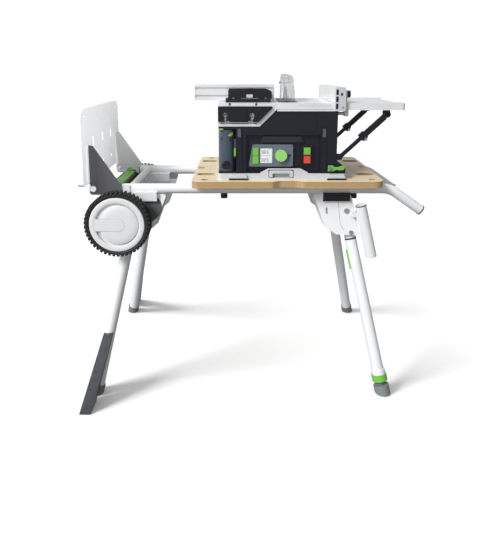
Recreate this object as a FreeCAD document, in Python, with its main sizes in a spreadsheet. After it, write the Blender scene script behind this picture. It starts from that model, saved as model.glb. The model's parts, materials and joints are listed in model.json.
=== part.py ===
import FreeCAD, Part
import math
import os
import re

# A portable table saw on a plywood board, carried by a folding underframe with two wheels.
# +Z is up and -Y is the operator's side. The origin is on the floor, under the middle of the
# bounding box. All sizes are in millimetres and degrees.

DOC = FreeCAD.newDocument("TableSaw")
SHEET = DOC.addObject("Spreadsheet::Sheet", "Sizes")
V = FreeCAD.Vector

SIZES = {
    # underframe tubes
    "tube_side": 154, "tube_rad": 16, "tube_wall": 2, "tube_level": 629,
    "tube_left": -423, "tube_bend": 400, "bend_rad": 80, "bend_angle": 35, "grip_run": 94.8,
    # legs: hinge point, foot point and tube
    "legs_mid": -50, "hinge_reach": 335, "hinge_side": 150, "hinge_level": 556,
    "foot_reach": 449, "foot_side": 277, "leg_rad": 18, "leg_wall": 2,
    "cheek_gap": 25, "cheek_thick": 3,
    # wheels and their axle
    "axle_at": -422, "axle_level": 537, "wheel_rad": 100, "hub_rad": 84,
    "wheel_inner": 205, "wheel_outer": 250, "axle_rad": 6,
    # toe plate
    "toe_at": -522, "toe_half": 235, "toe_low": 650, "toe_high": 884, "toe_thick": 2.5,
    "fold_at": -506, "fold_level": 634, "gusset_side": 176,
    # board
    "board_left": -198, "board_right": 390, "board_half": 225, "board_low": 645, "board_thick": 21,
    # saw base and housing
    "tray_left": -119, "tray_right": 277, "tray_front": -194, "tray_back": 102,
    "tray_low": 666, "tray_high": 685,
    "body_left": -115, "body_right": 247, "body_front": -190, "body_back": 98, "body_high": 876,
    "wall": 4, "shelf_low": 830, "shelf_high": 838,
    # tables
    "table_left": 63, "table_right": 272, "table_top": 900, "table_skirt": 876, "table_thick": 12,
    "wing_right": 450, "wing_back": 123, "wing_low": 879,
    # blade
    "blade_at": 99, "blade_mid": -50, "blade_level": 862, "blade_rad": 84, "blade_thick": 1.8,
    # rip fence
    "fence_left": 235, "fence_right": 266, "fence_high": 948, "fence_front": -205, "fence_back": 129,
}

for row, (word, number) in enumerate(SIZES.items(), start=1):
    SHEET.set(f"A{row}", word)
    SHEET.set(f"B{row}", str(number))
    SHEET.setAlias(f"B{row}", word)
DOC.recompute()

WORDS = re.compile(r"\b(" + "|".join(sorted(SIZES, key=len, reverse=True)) + r")\b")


def size(word):
    """A value of the sheet."""
    return float(SHEET.get(word))


def formula(text):
    """A formula in the sheet's words, as an expression."""
    return WORDS.sub(lambda found: "Sizes." + found.group(1), str(text))


def bind(thing, **properties):
    for name, text in properties.items():
        thing.setExpression(name.replace("__", "."), formula(text))


def locate(thing, x, y, z):
    bind(thing, Placement__Base__x=x, Placement__Base__y=y, Placement__Base__z=z)


def block(name, xs, ys, zs):
    """A box between pairs of formulas."""
    made = DOC.addObject("Part::Box", name)
    bind(made, Length=f"({xs[1]}) - ({xs[0]})", Width=f"({ys[1]}) - ({ys[0]})", Height=f"({zs[1]}) - ({zs[0]})")
    locate(made, xs[0], ys[0], zs[0])
    return made


TURNS = {
    "x": FreeCAD.Rotation(V(0, 1, 0), 90),
    "y": FreeCAD.Rotation(V(1, 0, 0), -90),
    "z": FreeCAD.Rotation(),
}


def rod(name, radius, start, length, along="z"):
    """A round bar from a start point along an axis, or along a direction vector."""
    made = DOC.addObject("Part::Cylinder", name)
    bind(made, Radius=radius, Height=length)
    turn = TURNS[along] if isinstance(along, str) else FreeCAD.Rotation(V(0, 0, 1), along)
    made.Placement = FreeCAD.Placement(V(), turn)
    locate(made, *start)
    return made


def cut(name, base, *tools):
    made = DOC.addObject("Part::Cut", name)
    made.Base = base
    made.Tool = tools[0] if len(tools) == 1 else gather(name + "_tools", *tools, fused=True)
    return made


def gather(name, *links, fused=False):
    """Several solids as one object: joined when they are one piece, otherwise kept apart."""
    made = DOC.addObject("Part::MultiFuse" if fused else "Part::Compound", name)
    if fused:
        made.Shapes = list(links)
    else:
        made.Links = list(links)
    return made


def fuse(name, *links):
    return gather(name, *links, fused=True)


def common(name, first, second):
    made = DOC.addObject("Part::Common", name)
    made.Base = first
    made.Tool = second
    return made


def mirror(name, source, normal=V(0, 1, 0), base=V()):
    made = DOC.addObject("Part::Mirroring", name)
    made.Source = source
    made.Normal = normal
    made.Base = base
    return made


def outline(points, radius=0):
    """Lines through the points, with an arc of the radius at each corner that names none of its own."""
    corners = []
    count = len(points)
    for i in range(count):
        before, here, after = (V(*points[(i + k) % count][:2], 0) for k in (-1, 0, 1))
        bend = points[i][2] if len(points[i]) > 2 else radius
        into, out = (before - here).normalize(), (after - here).normalize()
        angle = into.getAngle(out)
        if bend <= 0 or abs(angle - math.pi) < 1e-3:
            corners.append((here, here, here))
            continue
        back = bend / math.tan(angle / 2)
        middle = (into + out).normalize()
        centre = here + middle * (bend / math.sin(angle / 2))
        corners.append((here + into * back, centre - middle * bend, here + out * back))
    edges = []
    for i in range(count):
        first, second = corners[i], corners[(i + 1) % count]
        if first[0] != first[2]:
            edges.append(Part.Arc(*first))
        if (first[2] - second[0]).Length > 1e-4:
            edges.append(Part.LineSegment(first[2], second[0]))
    return edges


def ring(x, y, radius):
    return [Part.Circle(V(x, y, 0), V(0, 0, 1), radius)]


def slot(x, y, half, radius, upright=False):
    """A slot about a centre, with round ends."""
    dx, dy = (0, half) if upright else (half, 0)
    w = radius
    if upright:
        pts = [(x - w, y - dy - w), (x + w, y - dy - w), (x + w, y + dy + w), (x - w, y + dy + w)]
    else:
        pts = [(x - dx - w, y - w), (x + dx + w, y - w), (x + dx + w, y + w), (x - dx - w, y + w)]
    return outline(pts, radius * 0.999)


PLANES = {"xy": "XY_Plane", "xz": "XZ_Plane", "yz": "YZ_Plane"}


def plate(name, plane, span, *loops):
    """A padded sketch. The loops after the first are its holes; the span is where it starts and ends."""
    body = DOC.addObject("PartDesign::Body", name)
    sketch = body.newObject("Sketcher::SketchObject", name + "_sketch")
    flat = next(f for f in body.Origin.OriginFeatures if f.Role == PLANES[plane])
    sketch.AttachmentSupport = [(flat, "")]
    sketch.MapMode = "FlatFace"
    for loop in loops:
        sketch.addGeometry(loop, False)
    pad = body.newObject("PartDesign::Pad", name + "_pad")
    pad.Profile = sketch
    bind(pad, Length=f"({span[1]}) - ({span[0]})")
    if plane == "xy":
        locate(body, 0, 0, span[0])
    elif plane == "yz":
        locate(body, span[0], 0, 0)
    else:
        locate(body, 0, span[1], 0)
    return body


def revolve(name, points, start, along):
    """A ring turned from its section: points are (radius, distance along the axis)."""
    body = DOC.addObject("PartDesign::Body", name)
    sketch = body.newObject("Sketcher::SketchObject", name + "_sketch")
    flat = next(f for f in body.Origin.OriginFeatures if f.Role == "XZ_Plane")
    sketch.AttachmentSupport = [(flat, "")]
    sketch.MapMode = "FlatFace"
    sketch.addGeometry(outline(points), False)
    turned = body.newObject("PartDesign::Revolution", name + "_turn")
    turned.Profile = sketch
    turned.ReferenceAxis = (sketch, ["V_Axis"])
    turned.Angle = 360
    turn = TURNS[along] if isinstance(along, str) else FreeCAD.Rotation(V(0, 0, 1), along)
    body.Placement = FreeCAD.Placement(V(), turn)
    locate(body, *start)
    return body


PIECES = {}


def piece(name, made):
    """Marks an object as one sub-part of the saw."""
    made.Label = name
    PIECES[name] = made
    return made


# ---- Underframe: two tubes with handle ends, cross tube, caps ----

def bent_tube(name, radius):
    """One long tube: straight under the board, then bent down to the handle."""
    bend, turn = size("bend_rad"), math.radians(size("bend_angle"))
    x, y, z = size("tube_bend"), -size("tube_side"), size("tube_level")
    middle = V(x + bend * math.sin(turn / 2), y, z - bend * (1 - math.cos(turn / 2)))
    end = V(x + bend * math.sin(turn), y, z - bend * (1 - math.cos(turn)))
    tip = end + V(math.cos(turn), 0, -math.sin(turn)) * size("grip_run")
    runs = [
        Part.makeLine(V(size("tube_left"), y, z), V(x, y, z)),
        Part.Arc(V(x, y, z), middle, end).toShape(),
        Part.makeLine(end, tip),
    ]
    path = DOC.addObject("Part::Feature", name + "_path")
    path.Shape = Part.Wire(runs)
    section = DOC.addObject("Part::Circle", name + "_section")
    section.Placement = FreeCAD.Placement(V(), TURNS["x"])
    bind(section, Radius=radius)
    locate(section, "tube_left", "-tube_side", "tube_level")
    made = DOC.addObject("Part::Sweep", name)
    made.Sections = [section]
    made.Spine = (path, ["Edge1", "Edge2", "Edge3"])
    made.Solid = True
    return made, tip


tube_skin, grip_tip = bent_tube("tube_skin", "tube_rad")
tube_core, grip_tip = bent_tube("tube_core", "tube_rad - tube_wall")
tube_front = cut("tube_front", tube_skin, tube_core)
tube_back = mirror("tube_back", tube_front)

GRIP_WAY = V(math.cos(math.radians(size("bend_angle"))), 0, -math.sin(math.radians(size("bend_angle"))))
grip_plug = rod("grip_plug", "tube_rad - tube_wall", (grip_tip.x, "-tube_side", grip_tip.z), 25, GRIP_WAY * -1)
grip_disc = rod("grip_disc", "tube_rad + 0.5", (grip_tip.x, "-tube_side", grip_tip.z), 5, GRIP_WAY)
grip_cap = fuse("grip_cap", grip_plug, grip_disc)
end_cap = rod("end_cap", "tube_rad - tube_wall", ("tube_left - 3", "-tube_side", "tube_level"), 20, "x")
caps_front = gather("caps_front", grip_cap, end_cap)
piece("tube_end_caps", gather("tube_end_caps", caps_front, mirror("caps_back", caps_front)))

CROSS_X = {"left": -395, "right": 215}
cross = rod("cross", 12.5, (CROSS_X["left"], "-tube_side + tube_rad", "tube_level"), "2*(tube_side - tube_rad)", "y")
cross_right = rod("cross_right", 12.5, (CROSS_X["right"], "-tube_side + tube_rad", "tube_level"), "2*(tube_side - tube_rad)", "y")

# ---- Legs: each swings in a plane that is tilted outward, about a bolt in its bracket ----

SPLAY = math.atan2(size("foot_side") - size("hinge_side"), size("hinge_level"))
DEPTH = math.hypot(size("foot_side") - size("hinge_side"), size("hinge_level"))
LEAN = math.atan2(size("foot_reach") - size("hinge_reach"), DEPTH)
LEG_LENGTH = math.hypot(size("foot_reach") - size("hinge_reach"), DEPTH)
END, SIDE = {"left": -1, "right": 1}, {"front": -1, "back": 1}


def hinge_point(end, side):
    return V(size("legs_mid") + END[end] * size("hinge_reach"), SIDE[side] * size("hinge_side"), size("hinge_level"))


def leg_way(end, side):
    """The direction down a leg, from its hinge to its foot."""
    out = SIDE[side] * math.sin(SPLAY)
    return V(END[end] * math.sin(LEAN), out * math.cos(LEAN), -math.cos(SPLAY) * math.cos(LEAN))


def hinge_way(side):
    """The hinge bolt's direction, outward and square to the plane that the leg swings in."""
    return V(0, SIDE[side] * math.cos(SPLAY), math.sin(SPLAY))


def along_leg(end, side, far):
    return hinge_point(end, side) + leg_way(end, side) * far


def leg_rod(name, end, side, radius, begin, finish):
    start = along_leg(end, side, begin)
    return rod(name, radius, (start.x, start.y, start.z), finish - begin, leg_way(end, side))


def floor_cut(name, made):
    """Keeps what is above the floor."""
    room = block(name + "_room", (-700, 700), (-500, 500), (0, 700))
    return common(name, made, room)


LEG_TOP, FOOT_CAP, ADJUSTER = -13, 34, 74


def make_leg(end, side):
    """A leg tube with its foot cap, or with the threaded socket of the levelling foot."""
    tag = f"{end}_{side}"
    adjusted = tag == "right_front"
    finish = LEG_LENGTH - (ADJUSTER if adjusted else FOOT_CAP - 6)
    skin = leg_rod(f"leg_skin_{tag}", end, side, "leg_rad", LEG_TOP, finish)
    core = leg_rod(f"leg_core_{tag}", end, side, "leg_rad - leg_wall", LEG_TOP - 1, finish + 1)
    bore_start = hinge_point(end, side) - hinge_way(side) * 30
    bore = rod(f"leg_bore_{tag}", 5.05, (bore_start.x, bore_start.y, bore_start.z), 60, hinge_way(side))
    tube = cut(f"leg_tube_{tag}", skin, core, bore)
    if adjusted:
        plug = leg_rod("leg_plug", end, side, "leg_rad + 3", finish, finish + 14)
        hole = leg_rod("leg_plug_hole", end, side, 8.05, finish - 1, finish + 15)
        piece(f"leg_{tag}", gather(f"leg_{tag}", tube, cut("foot_socket", plug, hole)))
        return
    cap = leg_rod(f"cap_skin_{tag}", end, side, 21, finish, LEG_LENGTH + 12)
    neck = leg_rod(f"cap_neck_{tag}", end, side, "leg_rad - leg_wall", finish - 20, finish + 1)
    foot = floor_cut(f"foot_cap_{tag}", fuse(f"cap_{tag}", cap, neck))
    piece(f"leg_{tag}", gather(f"leg_{tag}", tube, foot))


for leg_end in END:
    for leg_side in SIDE:
        make_leg(leg_end, leg_side)

# The right front leg ends in a ring and a threaded foot that level the saw.
ring_start = LEG_LENGTH - ADJUSTER + 14.4
adjust_ring = leg_rod("adjust_ring_skin", "right", "front", 23.5, ring_start, ring_start + 20)
adjust_hole = leg_rod("adjust_ring_hole", "right", "front", 8.05, ring_start - 1, ring_start + 21)
piece("adjuster_ring", cut("adjuster_ring", adjust_ring, adjust_hole))
spindle = leg_rod("spindle", "right", "front", 8, LEG_LENGTH - 120, LEG_LENGTH - 10)
pad = leg_rod("pad", "right", "front", 23.5, LEG_LENGTH - 26, LEG_LENGTH + 14)
piece("adjuster_foot", floor_cut("adjuster_foot", fuse("adjuster_whole", spindle, pad)))

# ---- Skids: black wedges on the outer side of the two left legs ----

def make_skid(side):
    s = SIDE[side]
    high = along_leg("left", side, LEG_LENGTH * (1 - 187 / size("hinge_level")))
    sections = []
    for x, half, y_in, y_out, z in ((high.x, 14, 240, 266, 187), (-506, 17, 322, 384, 0)):
        corners = [V(x - half, s * y_in, z), V(x + half, s * y_in, z), V(x + half, s * y_out, z), V(x - half, s * y_out, z)]
        sections.append(Part.makePolygon(corners + corners[:1]))
    wedge = DOC.addObject("Part::Feature", f"wedge_{side}")
    wedge.Shape = Part.makeLoft(sections, True, True)
    leg = leg_rod(f"skid_leg_{side}", "left", side, "leg_rad", 300, LEG_LENGTH + 60)
    cap = leg_rod(f"skid_cap_{side}", "left", side, 21.2, LEG_LENGTH - 40, LEG_LENGTH + 60)
    piece(f"skid_{side}", cut(f"skid_{side}", wedge, leg, cap))


for skid_side in SIDE:
    make_skid(skid_side)


# ---- Leg brackets: two cheeks and a saddle under each tube ----

def cheek_outline(end):
    """The cheek's shape in the leg's own plane: x along the frame, y down from the hinge bolt."""
    e = END[end]
    points = [(-104, 52), (14, 52), (27, 6), (36, -42), (44, -78), (-33, -74), (-70, -42)]
    if end == "left":
        points = [(-104, 52), (14, 52), (30, 14), (57, 6), (57, -38), (44, -78), (-33, -74), (-70, -42)]
    return outline([(e * x, y) for x, y in points], 7)


def make_bracket(end, side):
    tag, s = f"{end}_{side}", SIDE[side]
    cheeks = []
    for place, offset in (("inner", -size("cheek_gap") - size("cheek_thick")), ("outer", size("cheek_gap"))):
        holes = [ring(0, 0, 5.05), ring(END[end] * 13.5, -68, 4), slot(END[end] * -62, 0, 7, 3.5, True)]
        if end == "left":
            fall = size("hinge_level") - size("axle_level") + (offset + 1.5) * math.sin(SPLAY)
            holes.append(ring(size("axle_at") - hinge_point(end, side).x, -fall / math.cos(SPLAY), 6.8))
        body = plate(f"cheek_{place}_{tag}", "xz", (0, "cheek_thick"), cheek_outline(end), *holes)
        origin = hinge_point(end, side) + hinge_way(side) * (offset + (size("cheek_thick") if s > 0 else 0))
        tilt = FreeCAD.Rotation(V(1, 0, 0), s * math.degrees(SPLAY))
        for axis in "xyz":
            body.setExpression(f"Placement.Base.{axis}", None)
        body.Placement = FreeCAD.Placement(origin, tilt)
        cheeks.append(body)
    mid = hinge_point(end, side).x - END[end] * 32.5
    saddle = block(f"saddle_{tag}", (mid - 42.5, mid + 42.5), (f"{s}*145 - 36", f"{s}*145 + 36"), (594, 622))
    tube = rod(f"saddle_tube_{tag}", "tube_rad", (mid - 60, f"{s}*tube_side", "tube_level"), 120, "x")
    bar = rod(f"saddle_bar_{tag}", 12.6, (CROSS_X[end], -180, "tube_level"), 360, "y")
    saddle_cut = cut(f"saddle_cut_{tag}", saddle, tube, bar)
    return cheeks, saddle_cut


brackets = []
for leg_end in END:
    for leg_side in SIDE:
        cheeks, saddle = make_bracket(leg_end, leg_side)
        brackets.append(fuse(f"bracket_{leg_end}_{leg_side}", *cheeks, saddle))
piece("leg_brackets", gather("leg_brackets", *brackets))


def bolt(name, end, side, x, down, begin, finish, shank, head=8, head_high=5):
    """A bolt square to a bracket's cheeks: its place in the leg's plane, and its reach outward."""
    plane_x = V(1, 0, 0)
    plane_down = V(0, SIDE[side] * math.sin(SPLAY), -math.cos(SPLAY))
    base = hinge_point(end, side) + plane_x * x + plane_down * down
    start = base + hinge_way(side) * begin
    tip = base + hinge_way(side) * finish
    stem = rod(name + "_stem", shank, (start.x, start.y, start.z), finish - begin, hinge_way(side))
    crown = rod(name + "_crown", head, (tip.x, tip.y, tip.z), head_high, hinge_way(side))
    if finish - begin < 10:
        return fuse(name, stem, crown)
    collars = []
    for where, near in (("low", -24.9), ("high", 18.6)):
        at = base + hinge_way(side) * near
        collars.append(rod(f"{name}_collar_{where}", 9, (at.x, at.y, at.z), 6.3, hinge_way(side)))
    return fuse(name, stem, crown, *collars)


hinge_bolts, stop_bolts = [], []
for leg_end in END:
    for leg_side in SIDE:
        tag, e = f"{leg_end}_{leg_side}", END[leg_end]
        hinge_bolts.append(bolt(f"hinge_bolt_{tag}", leg_end, leg_side, 0, 0, -30, 28, 5))
        stop_bolts.append(bolt(f"stop_bolt_{tag}", leg_end, leg_side, e * 13.5, 68, 25, 28, 4, 7, 4))
piece("leg_bolts", gather("leg_bolts", *hinge_bolts, *stop_bolts))


# ---- Axle and wheels ----

axle_bar = rod("axle_bar", "axle_rad", ("axle_at", "10 - wheel_outer", "axle_level"), "2*(wheel_outer - 10)", "y")


def make_wheel(side):
    s = SIDE[side]
    out = V(0, s, 0)
    start = ("axle_at", f"{s}*wheel_inner", "axle_level")
    rim, bore = size("hub_rad"), size("axle_rad") + 0.06
    hub_points = [
        (bore, 2), (22, 2), (22, 16), (rim - 12, 16), (rim - 12, 4), (rim, 4), (rim, 41),
        (rim - 5, 43), (rim - 14, 40), (rim - 20, 40), (rim - 26, 43), (0, 44), (0, 36), (bore, 36),
    ]
    piece(f"wheel_hub_{side}", revolve(f"wheel_hub_{side}", hub_points, start, out))
    top = size("wheel_rad")
    tyre_points = [(rim, 4), (rim + 4, 1), (top - 4, 1), (top, 6), (top, 39), (top - 4, 45), (rim + 4, 45), (rim, 41)]
    piece(f"wheel_tyre_{side}", revolve(f"wheel_tyre_{side}", tyre_points, start, out))
    return rod(f"axle_collar_{side}", 12, ("axle_at", f"{s}*(wheel_inner - 6)", "axle_level"), 6, out)


collars = [make_wheel(side) for side in SIDE]
piece("wheel_axle", fuse("wheel_axle", axle_bar, *collars))

# ---- Toe plate with its gussets, hinge ears and pins ----

half, low, high = size("toe_half"), size("toe_low"), size("toe_high")
toe_loops = [outline([(-half, low, 12), (half, low, 12), (half, high, 34), (-half, high, 34)])]
toe_loops += [ring(side * (half - 40), high - 22, 3.5) for side in (-1, 1)]
for side in (-1, 1):
    toe_loops += [ring(side * (half - 16), high - down, 2.5) for down in (44, 66, 100)]
    toe_loops += [ring(side * (half - 34), high - down, 2) for down in (48, 72)]
toe_loops += [ring(across, high - 40, 2.5) for across in (-60, 60)]
for across in (-110, 0, 110):
    toe_loops.append(slot(across, low + 128, 11, 5, True))
    toe_loops.append(ring(across, low + 45, 5))
toe_sheet = plate("toe_sheet", "yz", ("toe_at", "toe_at + toe_thick"), *toe_loops)
rim_skin = plate("toe_rim_skin", "yz", ("toe_at - 15", "toe_at"), toe_loops[0])
inner = [(-half + 2.5, low + 2.5, 10), (half - 2.5, low + 2.5, 10), (half - 2.5, high - 2.5, 32), (-half + 2.5, high - 2.5, 32)]
rim_core = plate("toe_rim_core", "yz", ("toe_at - 16", "toe_at + 1"), outline(inner))
toe_whole = fuse("toe_whole", toe_sheet, cut("toe_rim", rim_skin, rim_core))

gusset_points = [(-519.5, 770, 4), (-504, 770, 12), (-421, 646, 8), (-421, 614, 8), (-519.5, 614, 8)]
fold_hole = ring(size("fold_at"), size("fold_level"), 5.05)
gusset = plate("gusset_front", "xz", ("-gusset_side - 3", "-gusset_side"), outline(gusset_points), fold_hole)
gusset_foot = block("gusset_foot", ("toe_at + toe_thick", "toe_at + toe_thick + 3"), ("-gusset_side - 16", "-gusset_side"), (655, 765))
gusset_whole = fuse("gusset_whole", gusset, gusset_foot)

ear_points = [(-518, 622, 6), (-518, 646, 8), (-494, 646, 8), (-395, 644.8, 0), (-395, 613.2, 0), (-470, 613.2, 6)]
ear_out = plate("ear_out", "xz", ("-tube_side - tube_rad - 3", "-tube_side - tube_rad"), outline(ear_points), fold_hole)
frame_pieces = [tube_front, tube_back, cross, cross_right, ear_out, mirror("ear_back", ear_out)]
piece("frame_tubes", gather("frame_tubes", *frame_pieces))

pin = rod("fold_pin", 5, ("fold_at", "-gusset_side - 6", "fold_level"), 22, "y")
pin_head = rod("fold_pin_head", 9, ("fold_at", "-gusset_side - 9", "fold_level"), 5.7, "y")
pin_whole = fuse("pin_whole", pin, pin_head)
gusset_front = gather("gusset_with_pin", cut("gusset_clear", gusset_whole, pin_whole), pin_whole)
piece("toe_plate", gather("toe_plate", toe_whole, gusset_front, mirror("gusset_back", gusset_front)))

# ---- Step bar and the green pedal that frees the toe plate ----

bar_skin = block("bar_skin", (-482, -424), ("-tube_side - tube_rad + 0.5", "tube_side + tube_rad - 0.5"), (602, 612.8))
step_pad = block("step_pad", (-482, -432), (-132, 132), (612.8, 624))
step_plate = fuse("step_plate", bar_skin, step_pad)
pedal_bar = block("pedal_bar", (-464, -446), (-110, 104), (628, 634))
pedal_eye = rod("pedal_eye", 10, (-455, 104, 636), 14, "y")
pedal_bore = rod("pedal_bore", 4.05, (-442, -120, 629), 260, "y")
pedal_lug = block("pedal_lug", (-446, -436), (-100, 100), (624.6, 633.4))
piece("release_pedal", cut("release_pedal", fuse("pedal_whole", pedal_bar, pedal_eye, pedal_lug), pedal_bore))
pedal_pin = rod("pedal_pin", 4, (-442, "-tube_side + tube_rad", 629), "2*(tube_side - tube_rad)", "y")
piece("step_bar", gather("step_bar", step_plate, pedal_pin))

# ---- Plywood board with cut-outs, its bolts and plugs ----

left, right, deep = size("board_left"), size("board_right"), size("board_half")
board_loops = [outline([
    (left, -deep, 22), (50, -deep, 16), (72, -deep + 13, 16), (122, -deep + 13, 16), (144, -deep, 16),
    (right, -deep, 30), (right, deep, 30), (left, deep, 22),
    (left, 19, 4), (left + 28, 17, 15), (left + 28, -17, 15), (left, -19, 4),
])]
for across in (-108, 130):
    board_loops.append(slot(left + 38, across, 12, 17))
    board_loops.append(slot(right - 36, across, 12, 17))
for across in (-194, 196):
    board_loops.append(ring(left + 40, across, 11))
board_loops.append(ring(right - 32, -190, 11))
board_loops.append(ring(right - 20, 18, 9))
for x in (-100, 296):
    for across in (-1, 1):
        board_loops.append(ring(x, across * size("tube_side"), 4.05))
board_whole = plate("board_whole", "xy", ("board_low", "board_low + board_thick"), *board_loops)
head_rooms = [rod(f"head_room_{i}", 9.05, (x, f"{s}*tube_side", "board_low + board_thick - 3.05"), 4)
              for i, (x, s) in enumerate(((-100, -1), (-100, 1), (296, -1), (296, 1)))]
piece("plywood_board", cut("plywood_board", board_whole, *head_rooms))

board_bolts = []
for x in (-100, 296):
    for s in (-1, 1):
        tag = f"{x}_{s}".replace("-", "m")
        stem = rod("board_stem_" + tag, 4, (x, f"{s}*tube_side", "board_low"), "board_thick - 3")
        crown = rod("board_crown_" + tag, 9, (x, f"{s}*tube_side", "board_low + board_thick - 3"), 2.8)
        board_bolts.append(fuse("board_bolt_" + tag, stem, crown))

knobs = []
for x in (-100, 310):
    skin = rod(f"knob_{x}".replace("-", "m"), 11, (x, "-tube_side", "tube_level - tube_rad - 14"), 14.2)
    tube = rod(f"knob_tube_{x}".replace("-", "m"), "tube_rad", (x - 20, "-tube_side", "tube_level"), 40, "x")
    knobs.append(cut(f"knob_cut_{x}".replace("-", "m"), skin, tube))
piece("board_fasteners", gather("board_fasteners", *board_bolts, *knobs))

# ---- Holster tube on the right front bracket ----

holster_way = V(40, 0, -168)
holster_skin = rod("holster_skin", 17, (322, -208, 590), 172, holster_way)
holster_core = rod("holster_core", 14.5, (322, -208, 590), 164, holster_way)
holster_arm = block("holster_arm", (300, 330), (-200, -172), (548, 560))
holster_fused = fuse("holster_fused", holster_skin, holster_arm)
piece("holster_tube", cut("holster_tube", holster_fused, holster_core, brackets[2]))

# ---- Saw base: tray, carry handle and latches ----

FULL_Y = ("body_front", "body_back")
tray = plate("tray_whole", "xy", ("tray_low", "tray_high"), outline([
    (size("tray_left"), size("tray_front")), (size("tray_right"), size("tray_front")),
    (size("tray_right"), size("tray_back")), (size("tray_left"), size("tray_back"))], 14))
hump = plate("tray_hump", "xz", ("tray_front", "body_front - 0.1"), outline([
    (13, 676), (160, 676), (160, 688, 3), (136, 701, 6), (37, 701, 6), (13, 688, 3)]))
handle_room = block("handle_room", (38, 115), ("tray_front - 1", "body_front - 0.1"), (672, 697))
tray_deep = block("tray_deep", (38, 115), ("tray_front - 1", "tray_front + 12"), (672, 686))
pin_left = rod("handle_pin_left", 1.5, (36, "tray_front + 0", 678.5), 9, "x")
pin_right = rod("handle_pin_right", 1.5, (108, "tray_front + 0", 678.5), 9, "x")
tray_shell = cut("tray_shell", fuse("tray_fused", tray, hump), handle_room, tray_deep, pin_left, pin_right)

handle_out = outline([(40, 674.5, 2), (113, 674.5, 2), (113, 695, 5), (40, 695, 5)])
handle_in = outline([(50, 673, 0), (103, 673, 0), (103, 686, 4), (50, 686, 4)])
handle_plate = plate("handle_plate", "xz", ("tray_front - 3", "tray_front + 3"), handle_out)
handle_gap = plate("handle_gap", "xz", ("tray_front - 4", "tray_front + 4"), handle_in)
handle_bore = rod("handle_bore", 1.55, (37, "tray_front", 678.5), 80, "x")
piece("carry_handle", cut("carry_handle", handle_plate, handle_gap, handle_bore))

latches = []
for tag, x in (("left", -82), ("right", 218)):
    made = plate(f"latch_{tag}", "xz", ("tray_front - 6", "tray_front"), outline(
        [(x, 667, 3), (x + 57, 667, 3), (x + 51, 684, 3), (x + 6, 684, 3)]))
    latches.append(made)
piece("base_tray", gather("base_tray", tray_shell, *latches))

# ---- Housing: a hollow shell with the front recess, the side bay and the rear bay ----

shell = plate("shell", "xz", FULL_Y, outline([
    (-115, 685, 2), (275, 685, 2), (275, 702, 4), (247, 724, 4), (247, 876, 0),
    (56.7, 876, 0), (11.2, 830, 0), (-115, 830, 2)]))
hollow = plate("hollow", "xz", ("body_front + 20", "body_back - 52"), outline([
    (-56, 689), (243, 689), (243, 877), (62, 877), (7, 824), (-56, 824)]))
panel_room = block("panel_room", (-30, 196), ("body_front - 1", "body_front + 12"), (690, 804))
bay_room = block("bay_room", (-116, -62), ("body_front - 1", "body_front + 62"), (690, 822))
plate_room = plate("plate_room", "xz", ("body_front - 1", "body_front + 1.5"), outline(
    [(13, 812), (186, 812), (186, 870), (13, 870)], 6))
rear_room = block("rear_room", (-100, 62), ("body_back - 48", "body_back + 1"), (700, 802))
dust_hole = rod("dust_hole", 19.5, (170, "body_back - 60", 740), 70, "y")
rail_holes = [rod(f"wing_hole_{i}", 5.05, (142, y, 866), 110, "x") for i, y in enumerate((-150, 60))]
knife_room = block("knife_room", (88, 108), (40, 66), (690, 877))
shell_cut = cut("shell_cut", shell, hollow, panel_room, bay_room, plate_room, rear_room,
                dust_hole, knife_room, *rail_holes)

pillars = []
for tag, x in (("left", -60), ("right", 198)):
    made = plate(f"pillar_{tag}", "xz", ("body_front - 4", "body_front"), outline(
        [(x, 690, 2), (x + 17, 690, 2), (x + 14, 826, 5), (x + 3, 826, 5)]))
    pillars.append(made)
shell_whole = fuse("shell_whole", shell_cut, *pillars)

cover = rod("cover_round", 27, (-89, "body_front + 30", 691), 128)
cover_inner = rod("cover_inner", 24, (-89, "body_front + 30", 690), 130)
cover_room = block("cover_room", (-117, -61), ("body_front - 2", "body_front + 36"), (690, 821))
bay_shield = common("bay_shield", cut("cover_cut", cover, cover_inner), cover_room)
track = block("track", (-67.5, -62.2), ("body_front - 2", "body_front + 4"), (735, 792))
piece("bay_cover", gather("bay_cover", cut("bay_shield_cut", bay_shield, track), track))
piece("bay_slider", block("bay_slider", (-68, -62), ("body_front - 9", "body_front - 2.4"), (741, 764)))

# ---- Console with its buttons, display and dial ----

PANEL = ("body_front + 2", "body_front + 12")
console = plate("console_plate", "xz", PANEL, outline(
    [(-23, 706, 5), (113, 706, 5), (113, 774, 5), (-11, 774, 5)]))
display_room = block("display_room", (11, 50), ("body_front", "body_front + 8"), (716, 764))
button_room = block("button_room", (-11.5, 7.5), ("body_front", "body_front + 9"), (714.5, 764.5))
dial_room = rod("dial_room", 4.05, (76, "body_front", 741), 10, "y")
console_cut = cut("console_cut", console, display_room, button_room, dial_room)
display = block("console_display", (11, 50), ("body_front + 5", "body_front + 8"), (716, 764))
piece("console_panel", gather("console_panel", console_cut, display))
piece("mode_button", block("mode_button", (-11, 7), ("body_front - 1", "body_front + 6"), (740.4, 764)))
piece("set_button", block("set_button", (-11, 7), ("body_front - 1", "body_front + 6"), (715, 739.6)))
knob = rod("dial_round", 18, (76, "body_front - 9", 741), 10.5, "y")
dial_stem = rod("dial_stem", 4, (76, "body_front + 1", 741), 8, "y")
piece("speed_dial", fuse("speed_dial", knob, dial_stem))

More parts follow.
